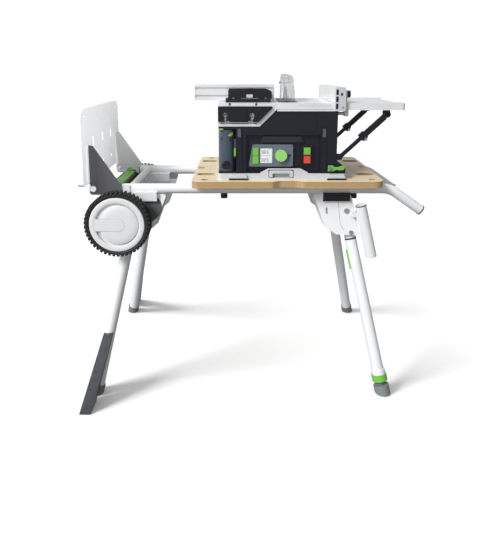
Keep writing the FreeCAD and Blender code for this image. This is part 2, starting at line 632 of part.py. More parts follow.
switch_base = block("switch_base", (138, 174), ("body_front + 4", "body_front + 12"), (708, 774))
start_room = block("start_room", (145.5, 166.5), ("body_front", "body_front + 10"), (742.5, 765.5))
stop_room = block("stop_room", (145.5, 166.5), ("body_front", "body_front + 10"), (716.5, 739.5))
switch_plate = cut("switch_plate", switch_base, start_room, stop_room)
piece("start_button", block("start_button", (146, 166), ("body_front", "body_front + 7"), (743, 765)))
piece("stop_button", block("stop_button", (146, 166), ("body_front - 2", "body_front + 7"), (717, 739)))
crest = plate("crest", "xz", PANEL, outline([(13, 781, 2), (143, 781, 2), (136, 799, 4), (20, 799, 4)]))
piece("front_panels", gather("front_panels", switch_plate, crest))
lever_eye = rod("lever_eye", 8, (226, "body_front - 14", 704), 6, "y")
lever_arm = plate("lever_arm", "xz", ("body_front - 14", "body_front - 8"), outline(
    [(226, 697, 3), (268, 699, 5), (268, 710, 5), (226, 711, 3)]))
lever_bore = rod("lever_bore", 3.05, (226, "body_front - 15", 704), 8, "y")
piece("base_lever", cut("base_lever", fuse("lever_whole", lever_eye, lever_arm), lever_bore))
screw_stem = rod("lever_screw_stem", 3, (226, "body_front - 14.4", 704), 14.4, "y")
screw_head = rod("lever_screw_head", 6, (226, "body_front - 17", 704), 2.6, "y")
lever_screw = fuse("lever_screw", screw_stem, screw_head)

# ---- Rear bay: batteries; dust port; electronics ----

batteries = []
for tag, x in (("left", -97), ("right", -17)):
    case = block(f"battery_case_{tag}", (x, x + 76), ("body_back - 46", "body_back + 3"), (702, 770))
    rail = block(f"battery_rail_{tag}", (x + 14, x + 62), ("body_back - 46", "body_back - 6"), (770, 782))
    batteries.append(fuse(f"battery_{tag}", case, rail))
piece("batteries", gather("batteries", *batteries))
port = rod("port_skin", 19.4, (170, "body_back - 50", 740), 54, "y")
port_hole = rod("port_hole", 17, (170, "body_back - 51", 740), 56, "y")
piece("dust_port", cut("dust_port", port, port_hole))
piece("control_board", block("control_board", (-54, -30), (-160, 30), (692, 770)))

# ---- Saw table with its shelf, insert and rails ----

TABLE_Y = ("body_front", "body_back")
table_block = block("table_block", ("table_left", "table_right"), TABLE_Y, ("table_skirt", "table_top"))
table_room = block("table_room", (72, 262), (-178, 86), ("table_skirt - 1", "table_top - table_thick"))
insert_room = block("insert_room", (70, 130), (-152, 78), ("table_top - 4", "table_top + 1"))
blade_room = block("blade_room", (78, 122), (-146, 72), ("table_skirt", "table_top"))
web = plate("table_web", "xz", TABLE_Y, outline(
    [(2, 838), (2, 830), (10.5, 830), (64, 884), (64, 899.9), (63, 899.9)]))
shelf = block("table_shelf", (-117, 2), TABLE_Y, ("shelf_low", "shelf_high"))
table = cut("table_cut", table_block, table_room, insert_room, blade_room)
piece("saw_table", fuse("saw_table", table, web, shelf))
slot_cut = block("slot_cut", (96, 102), (-142, 68), ("table_top - 5", "table_top + 1"))
insert = block("insert_whole", (70, 130), (-152, 78), ("table_top - 4", "table_top"))
piece("table_insert", cut("table_insert", insert, slot_cut))
rails = [block(f"rail_{i}", (x, x + 14), ("body_front + 4", "body_back - 4"), ("shelf_high", "shelf_high + 9")) for i, x in enumerate((-96, -24))]

# ---- Sliding table and its angle stop ----

carriage_body = plate("carriage_body", "xz", ("body_front + 0.4", "body_back"), outline(
    [(-116, 840.5), (3.5, 840.5), (52, 890), (58.5, 896.5), (58.5, 900), (-116, 900)]))
grooves = [block(f"groove_{i}", (x - 0.4, x + 14.4), ("body_front - 1", "body_back + 1"), (839, 847.6)) for i, x in enumerate((-96, -24))]
channels = [block(f"channel_{i}", (x, x + 8), ("body_front - 1", "body_back + 1"), (892, 901)) for i, x in enumerate((-84, -4))]
boxes = [plate(f"box_{i}", "xz", ("body_front - 1", "body_back + 1"), outline(pts, 3)) for i, pts in enumerate((
    [(-110, 852), (-70, 852), (-70, 886), (-110, 886)], [(-62, 852), (-14, 852), (-14, 886), (-62, 886)]))]
piece("sliding_table", cut("sliding_table", carriage_body, *grooves, *channels, *boxes))
cap_loops = [outline([(-116, 844, 3), (5.5, 844, 3), (52, 891, 3), (-116, 891, 3)])]
cap_loops += [slot(x, 861, 4, 7, True) for x in (-94, -14)]
cap_whole = plate("cap_whole", "xz", ("body_front - 8", "body_front + 0.4"), *cap_loops)
notches = [block(f"cap_notch_{i}", (x - 0.4, x + 14.4), ("body_front - 9", "body_front + 1"), (839, 847.6))
           for i, x in enumerate((-96, -24))]
sliding_end = cut("sliding_end", cap_whole, *notches)
end_cover = plate("end_cover", "xz", ("body_front - 11", "body_front - 8"), outline(
    [(-78, 850, 3), (-30, 850, 3), (-30, 884, 3), (-78, 884, 3)]))
piece("sliding_cap", gather("sliding_cap", sliding_end, end_cover))

STOP_Y = -120
stop_base = block("stop_base", (-94, 45), (STOP_Y - 34, STOP_Y + 30), (900.4, 912))
stop_head = plate("stop_head", "xz", (STOP_Y - 26, STOP_Y + 10), outline([(-86, 911, 2), (49, 911, 2), (49, 934, 8), (30, 942, 6), (-86, 942, 6)]))
stop_bore = rod("stop_bore", 4.05, (-20, STOP_Y - 10, 899), 44)
knob_room = rod("knob_room", 13.6, (-20, STOP_Y - 10, 922), 22)
piece("angle_stop_head", cut("angle_stop_head", fuse("stop_fused", stop_base, stop_head), stop_bore, knob_room))
fence_skin = block("fence_skin", (-192, 57), (STOP_Y + 30, STOP_Y + 48), (902, 954))
fence_slots = [block(f"fence_slot_{i}", (-193, 58), (STOP_Y + 29, STOP_Y + 36), (z, z + 8)) for i, z in enumerate((912, 936))]
fence_core = block("fence_core", (-193, 58), (STOP_Y + 39, STOP_Y + 45), (906, 950))
piece("angle_stop_fence", cut("angle_stop_fence", fence_skin, *fence_slots, fence_core))
knob_round = rod("stop_knob_round", 12.5, (-20, STOP_Y - 10, 922.4), 16)
piece("stop_knob", fuse("stop_knob", knob_round, rod("stop_knob_stem", 4, (-20, STOP_Y - 10, 900.6), 24)))

# ---- Blade, arbor, motor and the carriage that lifts them ----

blade_y, blade_z, blade_r = size("blade_mid"), size("blade_level"), size("blade_rad")
BLADE_X = ("blade_at - blade_thick/2", "blade_at + blade_thick/2")


def tooth_loop(count, outer, gullet):
    """A saw blade's edge: one straight tooth face and one long back per tooth."""
    points = []
    for i in range(count):
        base = 2 * math.pi * i / count
        for turn, radius in ((0.0, outer), (0.06, gullet), (0.62, gullet + 2.2)):
            angle = base + turn * 2 * math.pi / count
            points.append((blade_y + radius * math.cos(angle), blade_z + radius * math.sin(angle)))
    return outline(points)


piece("saw_blade", plate("saw_blade", "yz", BLADE_X, tooth_loop(36, blade_r, blade_r - 6), ring(blade_y, blade_z, 8.05)))
AXIS = ("blade_mid", "blade_level")
shaft = rod("arbor_shaft", 8, (78, *AXIS), 36, "x")
flange_in = rod("flange_in", 17, (93, *AXIS), "blade_at - blade_thick/2 - 93", "x")
flange_out = rod("flange_out", 17, ("blade_at + blade_thick/2", *AXIS), 4, "x")
nut = rod("arbor_nut", 9, ("blade_at + blade_thick/2 + 4", *AXIS), 7, "x")
piece("arbor", fuse("arbor", shaft, flange_in, flange_out, nut))

MOTOR_Z = 775
case_points = [(blade_y - 36, MOTOR_Z - 33, 24), (blade_y + 36, MOTOR_Z - 33, 24), (blade_y + 36, MOTOR_Z + 8, 20),
               (blade_y + 17, blade_z + 18, 16), (blade_y - 17, blade_z + 18, 16), (blade_y - 36, MOTOR_Z + 8, 20)]
gear_case = plate("gear_whole", "yz", (72.4, 92), outline(case_points), ring(blade_y, blade_z, 8.06))
motor_can = rod("motor_can", 32, (-18, "blade_mid", MOTOR_Z), 66, "x")
motor_end = rod("motor_end", 24, (-26, "blade_mid", MOTOR_Z), 8, "x")
piece("motor", fuse("motor", motor_can, motor_end))
carriage_bores = [rod(f"lift_bore_{i}", 6.06, (60, y, 700), 120) for i, y in enumerate((-115, 15))]
carriage_bores.append(rod("screw_bore", 5.06, (60, -90, 700), 120))
carriage_block = block("carriage_block", (48, 72.4), (-127, 27), (744, 806))
carriage_cut = cut("carriage_cut", carriage_block, *carriage_bores)
piece("lift_carriage", gather("lift_carriage", carriage_cut, gear_case))
guides = [rod(f"guide_{i}", 6, (60, y, 689), 179) for i, y in enumerate((-115, 15))]
guides.append(rod("lift_screw", 5, (60, -90, 689), 176))
piece("rods_and_pins", gather("rods_and_pins", *guides, *rails, pin_left, pin_right, lever_screw))

# ---- Riving knife and the clear guard hinged on it ----

inner_r, outer_r = blade_r + 4, blade_r + 27


def round_blade(radius, degrees):
    angle = math.radians(degrees)
    return V(blade_y + radius * math.cos(angle), blade_z + radius * math.sin(angle), 0)


knife_top = [V(12, 968, 0), V(38, 968, 0)]
knife_edges = [
    Part.Arc(round_blade(inner_r, -38), round_blade(inner_r, 6), round_blade(inner_r, 50)),
    Part.LineSegment(round_blade(inner_r, 50), knife_top[0]),
    Part.LineSegment(knife_top[0], knife_top[1]),
    Part.LineSegment(knife_top[1], round_blade(outer_r, 40)),
    Part.Arc(round_blade(outer_r, 40), round_blade(outer_r, 1), round_blade(outer_r, -38)),
    Part.LineSegment(round_blade(outer_r, -38), round_blade(inner_r, -38)),
]
PIN_Y, PIN_Z = 25, 957
knife = plate("knife_blade", "yz", ("blade_at - 1", "blade_at + 1"), knife_edges, ring(PIN_Y, PIN_Z, 3))
stalk = block("knife_stalk", (92, "blade_at - 1"), (blade_y + 58, blade_y + 88), (776, 802))
stalk_long = block("knife_stalk_long", (84, 92), (blade_y + 36, blade_y + 88), (776, 796))
knife_whole = fuse("knife_whole", knife, stalk, stalk_long)

side_points = [(-140, 903.5, 4), (-137, 934, 14), (-110, 979, 12), (30, 988, 10), (46, 972, 8), (46, 930, 6), (34, 903.5, 4)]
inside = [(-137.6, 900), (-134.4, 934, 12), (-108.4, 976.4, 10), (29, 985.4, 8), (43.4, 971, 6), (43.4, 900)]
plan = [(77, -141), (121, -141), (119, -60), (109, 47), (89, 47), (79, -60)]
plan_in = [(79.5, -142), (118.5, -142), (116.5, -60), (106.5, 48), (91.5, 48), (81.5, -60)]
guard_skin = common("guard_skin", plate("guard_side", "yz", (70, 130), outline(side_points)), plate("guard_plan", "xy", (895, 995), outline(plan, 2)))
guard_core = common("guard_core", plate("guard_side_in", "yz", (70, 130), outline(inside)), plate("guard_plan_in", "xy", (890, 995), outline(plan_in, 2)))
pin_rod = rod("guard_pin_rod", 3, (83, PIN_Y, PIN_Z), 32, "x")
heads = [rod(f"guard_pin_head_{i}", 6, (x, PIN_Y, PIN_Z), 3, "x") for i, x in enumerate((82, 113))]
guard_pin = fuse("guard_pin", pin_rod, *heads)
piece("riving_knife", gather("riving_knife", knife_whole, cut("guard_pin_cut", guard_pin, knife)))
guard_slot = plate("guard_slot", "yz", (70, 130), slot(PIN_Y, PIN_Z - 24, 24.4, 3.4, True))
piece("blade_guard", cut("blade_guard", guard_skin, guard_core, guard_slot))

# ---- Rip fence ----

FENCE_X = ("fence_left", "fence_right")
fence_loops = [outline([(size("fence_left"), 901), (size("fence_right"), 901), (size("fence_right"), 948), (size("fence_left"), 948)], 1.5)]
fence_loops.append(outline([(238.5, 905), (262.5, 905), (262.5, 922), (238.5, 922)], 2))
fence_loops.append(outline([(238.5, 927), (262.5, 927), (262.5, 944), (238.5, 944)], 2))
piece("rip_fence", plate("rip_fence", "xz", ("fence_front + 3", "fence_back"), *fence_loops))
clamp_face = plate("clamp_face", "xz", ("fence_front", "fence_front + 3"), outline([(235, 878, 3), (266, 878, 3), (266, 948, 3), (235, 948, 3)]))
clamp_foot = block("clamp_foot", (237, 264), ("fence_front + 3", "body_front - 0.6"), (878, 899))
clamp_box = block("clamp_box", (266, 275), (-180, -140), (903.5, 938))
clamp_bore = rod("clamp_bore", 4.06, (266, -160, 926), 12, "x")
piece("fence_clamp", gather("fence_clamp", fuse("clamp_front", clamp_face, clamp_foot), cut("clamp_side", clamp_box, clamp_bore)))
fence_knob_round = rod("fence_knob_round", 10.5, (275.4, -160, 926), 12, "x")
piece("fence_knob", fuse("fence_knob", fence_knob_round, rod("fence_knob_stem", 4, (267, -160, 926), 9, "x")))

# ---- Extension wing with its guide rods and telescopic struts ----

wing_loop = outline([(272.6, -190, 3), (450, -190, 10), (450, -130, 6), (432, -124, 6), (432, 92, 6), (450, 98, 6), (450, 123, 10), (272.6, 123, 3)])
wing_skin = plate("wing_skin", "xy", ("wing_low", "table_top"), wing_loop)
wing_room = block("wing_room", (278, 424), (-184, 115), ("wing_low - 1", "table_top - 4"))
hangers = [block(f"wing_hanger_{i}", (272.6, 284), (y - 12, y + 12), (858, 880)) for i, y in enumerate((-150, 60))]
wing_rods = [rod(f"wing_rod_{i}", 5, (150, y, 866), 128, "x") for i, y in enumerate((-150, 60))]
STRUT_LOW, STRUT_HIGH = V(258, 0, 735), V(397, 0, 866)
STRUT_Y = {"front": -182, "back": 66}
lugs = [block(f"strut_lug_{tag}", (386, 408), (y + 6.4, y + 12), (857, 884)) for tag, y in STRUT_Y.items()]
wing_pins = [rod(f"strut_pin_{tag}", 3, (STRUT_HIGH.x, y - 6, STRUT_HIGH.z), 14, "y") for tag, y in STRUT_Y.items()]
wing_body = cut("wing_body", wing_skin, wing_room)
piece("extension_wing", fuse("extension_wing", wing_body, *hangers, *lugs))
wing_steel = [cut(f"wing_rod_cut_{i}", wing_rods[i], hangers[i]) for i in (0, 1)]
pin_steel = [cut(f"strut_pin_cut_{i}", wing_pins[i], lugs[i]) for i in (0, 1)]
piece("wing_rods", gather("wing_rods", *wing_steel, *pin_steel))

STRUT_WAY = (STRUT_HIGH - STRUT_LOW)
STRUT_LENGTH = STRUT_WAY.Length
STRUT_TURN = FreeCAD.Rotation(V(0, 1, 0), -math.degrees(math.atan2(STRUT_WAY.z, STRUT_WAY.x)))


def on_strut(name, made, y):
    """Turns a piece built along +X from the lower pivot into the strut's line."""
    holder = gather(name, made)
    holder.Placement = FreeCAD.Placement(V(STRUT_LOW.x, y, STRUT_LOW.z), STRUT_TURN)
    return holder


lower, upper, strut_feet = [], [], []
for tag, y in STRUT_Y.items():
    bar = block(f"strut_bar_{tag}", (0, 160), (-3, 3), (-6, 6))
    eye = rod(f"strut_eye_{tag}", 8, (0, -3, 0), 6, "y")
    bore = rod(f"strut_eye_bore_{tag}", 4.06, (0, -4, 0), 8, "y")
    lower.append(on_strut(f"strut_lower_{tag}", cut(f"strut_lower_cut_{tag}", fuse(f"strut_lower_fuse_{tag}", bar, eye), bore), y))
    sleeve = block(f"strut_sleeve_{tag}", (86, STRUT_LENGTH - 9), (-5.6, 5.6), (-8.5, 8.5))
    inside_sleeve = block(f"strut_hollow_{tag}", (83, STRUT_LENGTH - 14), (-3.4, 3.4), (-6.4, 6.4))
    collar = block(f"strut_collar_{tag}", (84, 104), (-6, 6), (-12, 12))
    tip = rod(f"strut_tip_{tag}", 10, (STRUT_LENGTH, -5.6, 0), 11.2, "y")
    tip_bore = rod(f"strut_tip_bore_{tag}", 6.2, (STRUT_LENGTH, -7, 0), 14, "y")
    whole = cut(f"strut_upper_cut_{tag}", fuse(f"strut_upper_fuse_{tag}", sleeve, collar, tip), inside_sleeve, tip_bore)
    upper.append(on_strut(f"strut_upper_{tag}", whole, y))
    foot = block(f"strut_foot_{tag}", ("body_right", 262), (y - 10, y - 3.4), (727, 746))
    stub = rod(f"strut_stub_{tag}", 4, (STRUT_LOW.x, y - 4, STRUT_LOW.z), 9, "y")
    strut_feet.append(fuse(f"strut_mount_{tag}", foot, stub))
piece("strut_lower_bars", gather("strut_lower_bars", *lower))
piece("strut_upper_bars", gather("strut_upper_bars", *upper))
piece("saw_housing", gather("saw_housing", shell_whole, *strut_feet))


# ---- Build, test and write every sub-part ----

DOC.recompute()
for thing in DOC.Objects:
    if "Invalid" in thing.State or "Error" in thing.State:
        raise RuntimeError(f"{thing.Name} ({thing.Label}) did not build: {thing.State}")
for name, made in PIECES.items():
    if made.Shape.isNull() or not made.Shape.isValid() or not made.Shape.Solids:
        raise RuntimeError(f"{name} has no valid shape")
os.makedirs("parts", exist_ok=True)
for name, made in PIECES.items():
    made.Shape.exportStep(f"parts/{name}.step")
whole = Part.makeCompound([made.Shape for made in PIECES.values()]).BoundBox
print(len(PIECES), "sub-parts", [round(v, 1) for v in (whole.XMin, whole.XMax, whole.YMin, whole.YMax, whole.ZMin, whole.ZMax)])
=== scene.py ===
import json
import math
import random

import bmesh
import bpy
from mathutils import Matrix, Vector

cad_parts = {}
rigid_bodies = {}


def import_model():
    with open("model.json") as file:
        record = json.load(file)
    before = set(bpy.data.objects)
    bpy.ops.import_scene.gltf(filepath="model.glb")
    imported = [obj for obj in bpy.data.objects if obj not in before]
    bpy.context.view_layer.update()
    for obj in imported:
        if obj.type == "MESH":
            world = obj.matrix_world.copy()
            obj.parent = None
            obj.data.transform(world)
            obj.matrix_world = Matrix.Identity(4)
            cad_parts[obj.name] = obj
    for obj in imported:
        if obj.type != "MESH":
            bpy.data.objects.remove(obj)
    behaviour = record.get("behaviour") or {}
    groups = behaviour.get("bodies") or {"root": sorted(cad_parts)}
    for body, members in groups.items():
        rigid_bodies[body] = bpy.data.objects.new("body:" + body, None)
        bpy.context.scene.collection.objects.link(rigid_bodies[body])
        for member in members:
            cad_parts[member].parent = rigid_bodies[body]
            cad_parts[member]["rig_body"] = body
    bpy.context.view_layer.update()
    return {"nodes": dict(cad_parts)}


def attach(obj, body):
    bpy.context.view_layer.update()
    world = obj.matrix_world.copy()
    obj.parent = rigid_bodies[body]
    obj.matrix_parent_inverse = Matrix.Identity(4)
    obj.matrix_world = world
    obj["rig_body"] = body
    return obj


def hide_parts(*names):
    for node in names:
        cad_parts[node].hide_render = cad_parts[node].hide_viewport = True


# Finish of the table saw on its folding underframe. Everything is in metres, in the frame's axes:
# +Z is up and -Y is the operator's side.

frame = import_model()
NODES, SCENE = frame["nodes"], bpy.context.scene
MM = 0.001
random.seed(7)


# ---- Materials: every one is made of nodes, with a little grain and mottling ----

def new_material(name):
    made = bpy.data.materials.new(name)
    made.use_nodes = True
    tree = made.node_tree
    tree.nodes.clear()
    out = tree.nodes.new("ShaderNodeOutputMaterial")
    shader = tree.nodes.new("ShaderNodeBsdfPrincipled")
    tree.links.new(shader.outputs[0], out.inputs[0])
    return made, tree, shader


def add(tree, kind, **values):
    """A node with its properties and input values set; inputs are given by name with _ for a space."""
    node = tree.nodes.new("ShaderNode" + kind)
    for key, value in values.items():
        if hasattr(node, key):
            setattr(node, key, value)
        else:
            node.inputs[key.replace("_", " ")].default_value = value
    return node


def place(tree, scale=(1, 1, 1)):
    """The object's own coordinates, stretched."""
    where = add(tree, "TexCoord")
    turn = tree.nodes.new("ShaderNodeMapping")
    turn.inputs["Scale"].default_value = scale
    tree.links.new(where.outputs["Object"], turn.inputs["Vector"])
    return turn.outputs[0]


def noise(tree, vector, scale, detail=4.0, rough=0.55):
    made = add(tree, "TexNoise", Scale=scale, Detail=detail, Roughness=rough)
    tree.links.new(vector, made.inputs["Vector"])
    return made.outputs["Fac"]


def ramp(tree, value, stops):
    made = tree.nodes.new("ShaderNodeValToRGB")
    made.color_ramp.elements[0].position, made.color_ramp.elements[1].position = stops[0][0], stops[-1][0]
    for spot, colour in stops[1:-1]:
        made.color_ramp.elements.new(spot)
    for element, (spot, colour) in zip(made.color_ramp.elements, stops):
        element.position = spot
        element.color = (*colour, 1)
    tree.links.new(value, made.inputs[0])
    return made.outputs[0]


def spread(tree, value, low, high, start=0.3, end=0.7):
    made = add(tree, "MapRange")
    for name, number in (("From Min", start), ("From Max", end), ("To Min", low), ("To Max", high)):
        made.inputs[name].default_value = number
    tree.links.new(value, made.inputs["Value"])
    return made.outputs[0]


def bump(tree, shader, height, strength, distance=0.001):
    made = add(tree, "Bump", Strength=strength, Distance=distance)
    tree.links.new(height, made.inputs["Height"])
    tree.links.new(made.outputs[0], shader.inputs["Normal"])


def tone(colour, factor):
    return tuple(min(1.0, c * factor) for c in colour)


def painted(name, colour, rough, grain=900.0, grain_strength=0.08, mottle=0.05, metal=0.0, coat=0.0):
    """A plain finish with faint mottling, uneven gloss and a fine grain."""
    made, tree, shader = new_material(name)
    where = place(tree)
    soft = noise(tree, where, 14.0, 5.0)
    tree.links.new(ramp(tree, soft, [(0.3, tone(colour, 1 - mottle)), (0.7, tone(colour, 1 + mottle))]),
                   shader.inputs["Base Color"])
    tree.links.new(spread(tree, noise(tree, where, 60.0, 6.0), rough * 0.85, rough * 1.15),
                   shader.inputs["Roughness"])
    bump(tree, shader, noise(tree, where, grain, 2.0), grain_strength, 0.0004)
    shader.inputs["Metallic"].default_value = metal
    shader.inputs["Coat Weight"].default_value = coat
    shader.inputs["Coat Roughness"].default_value = 0.12
    return made


def brushed(name, colour, rough, along="y", strength=0.12, metal=1.0):
    """Metal with fine lines along one axis."""
    made, tree, shader = new_material(name)
    stretch = {"x": (2, 160, 160), "y": (160, 2, 160), "z": (160, 160, 2)}[along]
    lines = noise(tree, place(tree, stretch), 6.0, 6.0, 0.6)
    cloud = noise(tree, place(tree), 9.0, 4.0)
    tree.links.new(ramp(tree, cloud, [(0.3, tone(colour, 0.93)), (0.7, tone(colour, 1.04))]),
                   shader.inputs["Base Color"])
    tree.links.new(spread(tree, lines, rough * 0.75, rough * 1.3), shader.inputs["Roughness"])
    bump(tree, shader, lines, strength, 0.0002)
    shader.inputs["Metallic"].default_value = metal
    return made


def plywood(name, face, seam):
    """Sealed beech plywood: fine grain on its faces and stacked plies on its edges."""
    made, tree, shader = new_material(name)
    grain = noise(tree, place(tree, (3, 90, 90)), 5.0, 8.0, 0.62)
    flecks = noise(tree, place(tree, (40, 260, 260)), 4.0, 3.0)
    cloud = noise(tree, place(tree), 5.0, 3.0)
    face_colour = ramp(tree, grain, [(0.25, tone(face, 0.86)), (0.5, face), (0.75, tone(face, 1.07))])
    mottled = add(tree, "Mix", data_type="RGBA", blend_type="MULTIPLY")
    mottled.inputs[0].default_value = 0.5
    tree.links.new(face_colour, mottled.inputs[6])
    tree.links.new(ramp(tree, cloud, [(0.35, (0.9, 0.86, 0.8)), (0.65, (1, 1, 1))]), mottled.inputs[7])
    plies = add(tree, "TexWave", wave_type="BANDS", bands_direction="Z", Scale=105.0, Distortion=1.2,
                Detail=2.0)
    tree.links.new(place(tree), plies.inputs["Vector"])
    edge_colour = ramp(tree, plies.outputs["Fac"],
                       [(0.2, tone(seam, 0.6)), (0.55, seam), (0.9, tone(seam, 1.35))])
    normal = add(tree, "NewGeometry")
    split = add(tree, "SeparateXYZ")
    tree.links.new(normal.outputs["True Normal"], split.inputs[0])
    size = add(tree, "Math", operation="ABSOLUTE")
    tree.links.new(split.outputs["Z"], size.inputs[0])
    mix = add(tree, "Mix", data_type="RGBA")
    tree.links.new(spread(tree, size.outputs[0], 0, 1, 0.55, 0.75), mix.inputs[0])
    tree.links.new(edge_colour, mix.inputs[6])
    tree.links.new(mottled.outputs[2], mix.inputs[7])
    tree.links.new(mix.outputs[2], shader.inputs["Base Color"])
    tree.links.new(spread(tree, flecks, 0.32, 0.5), shader.inputs["Roughness"])
    bump(tree, shader, grain, 0.12, 0.0004)
    shader.inputs["Coat Weight"].default_value = 0.25
    shader.inputs["Coat Roughness"].default_value = 0.25
    return made


def clear(name):
    """Thin clear polycarbonate with faint scratches."""
    made, tree, shader = new_material(name)
    shader.inputs["Base Color"].default_value = (0.93, 0.95, 0.96, 1)
    shader.inputs["Transmission Weight"].default_value = 1.0
    shader.inputs["IOR"].default_value = 1.2
    shader.inputs["Alpha"].default_value = 0.55
    tree.links.new(spread(tree, noise(tree, place(tree, (20, 200, 20)), 6.0, 6.0), 0.06, 0.2),
                   shader.inputs["Roughness"])
    return made


WHITE = painted("white_steel", (0.80, 0.815, 0.83), 0.34, 1400.0, 0.12, 0.02, coat=0.15)
LIGHT_GREY = painted("light_grey_plastic", (0.56, 0.585, 0.61), 0.45, 1500.0, 0.12, 0.03)
HUB_WHITE = painted("hub_white", (0.74, 0.75, 0.76), 0.36, 1200.0, 0.06, 0.02)
MID_GREY = painted("mid_grey_plastic", (0.135, 0.16, 0.195), 0.42, 1300.0, 0.14, 0.05)
BLACK = painted("black_plastic", (0.0075, 0.0085, 0.012), 0.36, 1300.0, 0.18, 0.1)
SKID_BLACK = painted("skid_black", (0.010, 0.0125, 0.023), 0.3, 700.0, 0.12, 0.1)
HOUSING = painted("dark_housing", (0.0085, 0.0105, 0.018), 0.33, 1200.0, 0.2, 0.1)
BAY_GLOSS = painted("bay_gloss", (0.05, 0.07, 0.105), 0.14, 300.0, 0.02, 0.05, coat=0.6)
GREEN = painted("green_plastic", (0.17, 0.50, 0.06), 0.3, 900.0, 0.06, 0.05, coat=0.2)
GREEN_DIAL = painted("green_dial", (0.34, 0.68, 0.19), 0.28, 900.0, 0.05, 0.04, coat=0.3)
RED = painted("red_plastic", (0.74, 0.07, 0.05), 0.28, 900.0, 0.05, 0.05, coat=0.3)
DISPLAY = painted("white_display", (0.82, 0.85, 0.86), 0.2, 300.0, 0.01, 0.01, coat=0.5)
MARK_DARK = painted("mark_dark", (0.03, 0.035, 0.04), 0.5, 900.0, 0.02, 0.02)
MARK_LIGHT = painted("mark_light", (0.7, 0.72, 0.73), 0.5, 900.0, 0.02, 0.02)
SEAM = painted("seam_grey", (0.33, 0.34, 0.35), 0.6, 900.0, 0.02, 0.02)
# Painted shadow: the wheel's shadow on the white left brackets.
WHEEL_SHADOW_GREY = painted("dark_grey_coat", (0.075, 0.078, 0.084), 0.5, 1100.0, 0.15, 0.05)
# Painted highlight: a lighter grey for the light on the housing pillars' rounded edges.
PILLAR_HIGHLIGHT_GREY = painted("pillar_grey", (0.09, 0.10, 0.125), 0.34, 900.0, 0.1, 0.05)
OLIVE = painted("olive_plug", (0.36, 0.42, 0.10), 0.4, 900.0, 0.08, 0.05)
TIP = painted("carbide_tip", (0.30, 0.31, 0.33), 0.35, 900.0, 0.05, 0.05, metal=0.8)
# Painted shade: the toe plate's gussets are white steel; these two greys stand for the shade on the front one
# (dark) and the back one (mid grey).
FRONT_GUSSET_SHADE = painted("gusset_dark", (0.068, 0.068, 0.071), 0.5, 1100.0, 0.12, 0.05)
BACK_GUSSET_SHADE = painted("gusset_grey", (0.46, 0.46, 0.465), 0.5, 1100.0, 0.12, 0.05)
CREST = painted("crest_grey", (0.021, 0.024, 0.035), 0.34, 1100.0, 0.14, 0.06)
STICKER = painted("yellow_green_mark", (0.42, 0.52, 0.06), 0.35, 500.0, 0.02, 0.03)
ZINC = brushed("zinc_steel", (0.62, 0.63, 0.65), 0.3, "x", 0.08)
BLADE = brushed("blade_steel", (0.66, 0.67, 0.69), 0.24, "z", 0.1)
ALUMINIUM = brushed("aluminium", (0.86, 0.87, 0.88), 0.36, "y", 0.1, 0.25)
ALUMINIUM_X = brushed("aluminium_x", (0.86, 0.87, 0.88), 0.36, "x", 0.1, 0.25)
CAST = painted("cast_aluminium", (0.42, 0.43, 0.45), 0.5, 500.0, 0.4, 0.08, metal=0.9)
PLY = plywood("plywood", (0.80, 0.665, 0.46), (0.50, 0.33, 0.16))
TYRE = painted("tyre_rubber", (0.011, 0.011, 0.012), 0.62, 500.0, 0.3, 0.12)
RUBBER = painted("rubber_foot", (0.2, 0.215, 0.225), 0.6, 700.0, 0.25, 0.08)
CLEAR = clear("clear_plastic")
CIRCUIT = painted("circuit_green", (0.03, 0.14, 0.06), 0.4, 900.0, 0.1, 0.1)

NODE_FINISH = {
    WHITE: ("frame_tubes", "leg_left_front", "leg_left_back", "leg_right_front", "leg_right_back",
            "leg_brackets",
            "toe_plate", "holster_tube"),
    LIGHT_GREY: ("base_tray", "carry_handle", "fence_clamp"),
    HUB_WHITE: ("wheel_hub_front", "wheel_hub_back"),
    MID_GREY: ("tube_end_caps", "console_panel"),
    BLACK: ("step_bar", "board_fasteners", "front_panels", "dust_port", "table_insert", "sliding_cap",
            "angle_stop_head",
            "stop_knob", "motor", "fence_knob", "strut_lower_bars", "strut_upper_bars"),
    SKID_BLACK: ("skid_front", "skid_back"),
    HOUSING: ("saw_housing", "batteries"),
    BAY_GLOSS: ("bay_cover",),
    GREEN: ("adjuster_ring", "release_pedal", "bay_slider", "mode_button", "set_button", "start_button",
            "base_lever"),
    GREEN_DIAL: ("speed_dial",),
    RED: ("stop_button",),
    ZINC: ("leg_bolts", "wheel_axle", "arbor", "rods_and_pins", "wing_rods"),
    BLADE: ("saw_blade", "riving_knife"),
    ALUMINIUM: ("saw_table", "sliding_table", "rip_fence", "extension_wing"),
    ALUMINIUM_X: ("angle_stop_fence",),
    CAST: ("lift_carriage",),
    PLY: ("plywood_board",),
    TYRE: ("wheel_tyre_front", "wheel_tyre_back"),
    RUBBER: ("adjuster_foot",),
    CLEAR: ("blade_guard",),
    CIRCUIT: ("control_board",),
}

SHARP = math.radians(32)


def finish_node(name, material, width=0.0006, rounds=2):
    """Gives a CAD node its material, smooth shading between sharp edges, and finely rounded edges."""
    thing = NODES[name]
    if not thing.material_slots:
        thing.data.materials.append(material)
    for place_in in thing.material_slots:
        place_in.material = material
    for polygon in thing.data.polygons:
        polygon.use_smooth = True
    rounded = thing.modifiers.new("edges", "BEVEL")
    rounded.width, rounded.segments, rounded.limit_method, rounded.angle_limit = width, rounds, "ANGLE", SHARP
    rounded.harden_normals = True


THIN = {"saw_blade": 0.0001, "blade_guard": 0.0004, "riving_knife": 0.0003, "control_board": 0.0003,
        "table_insert": 0.0003,
        "plywood_board": 0.0028, "skid_front": 0.003, "skid_back": 0.003, "toe_plate": 0.0008}
for finish_material, names in NODE_FINISH.items():
    for node_name in names:
        finish_node(node_name, finish_material, THIN.get(node_name, 0.0006))


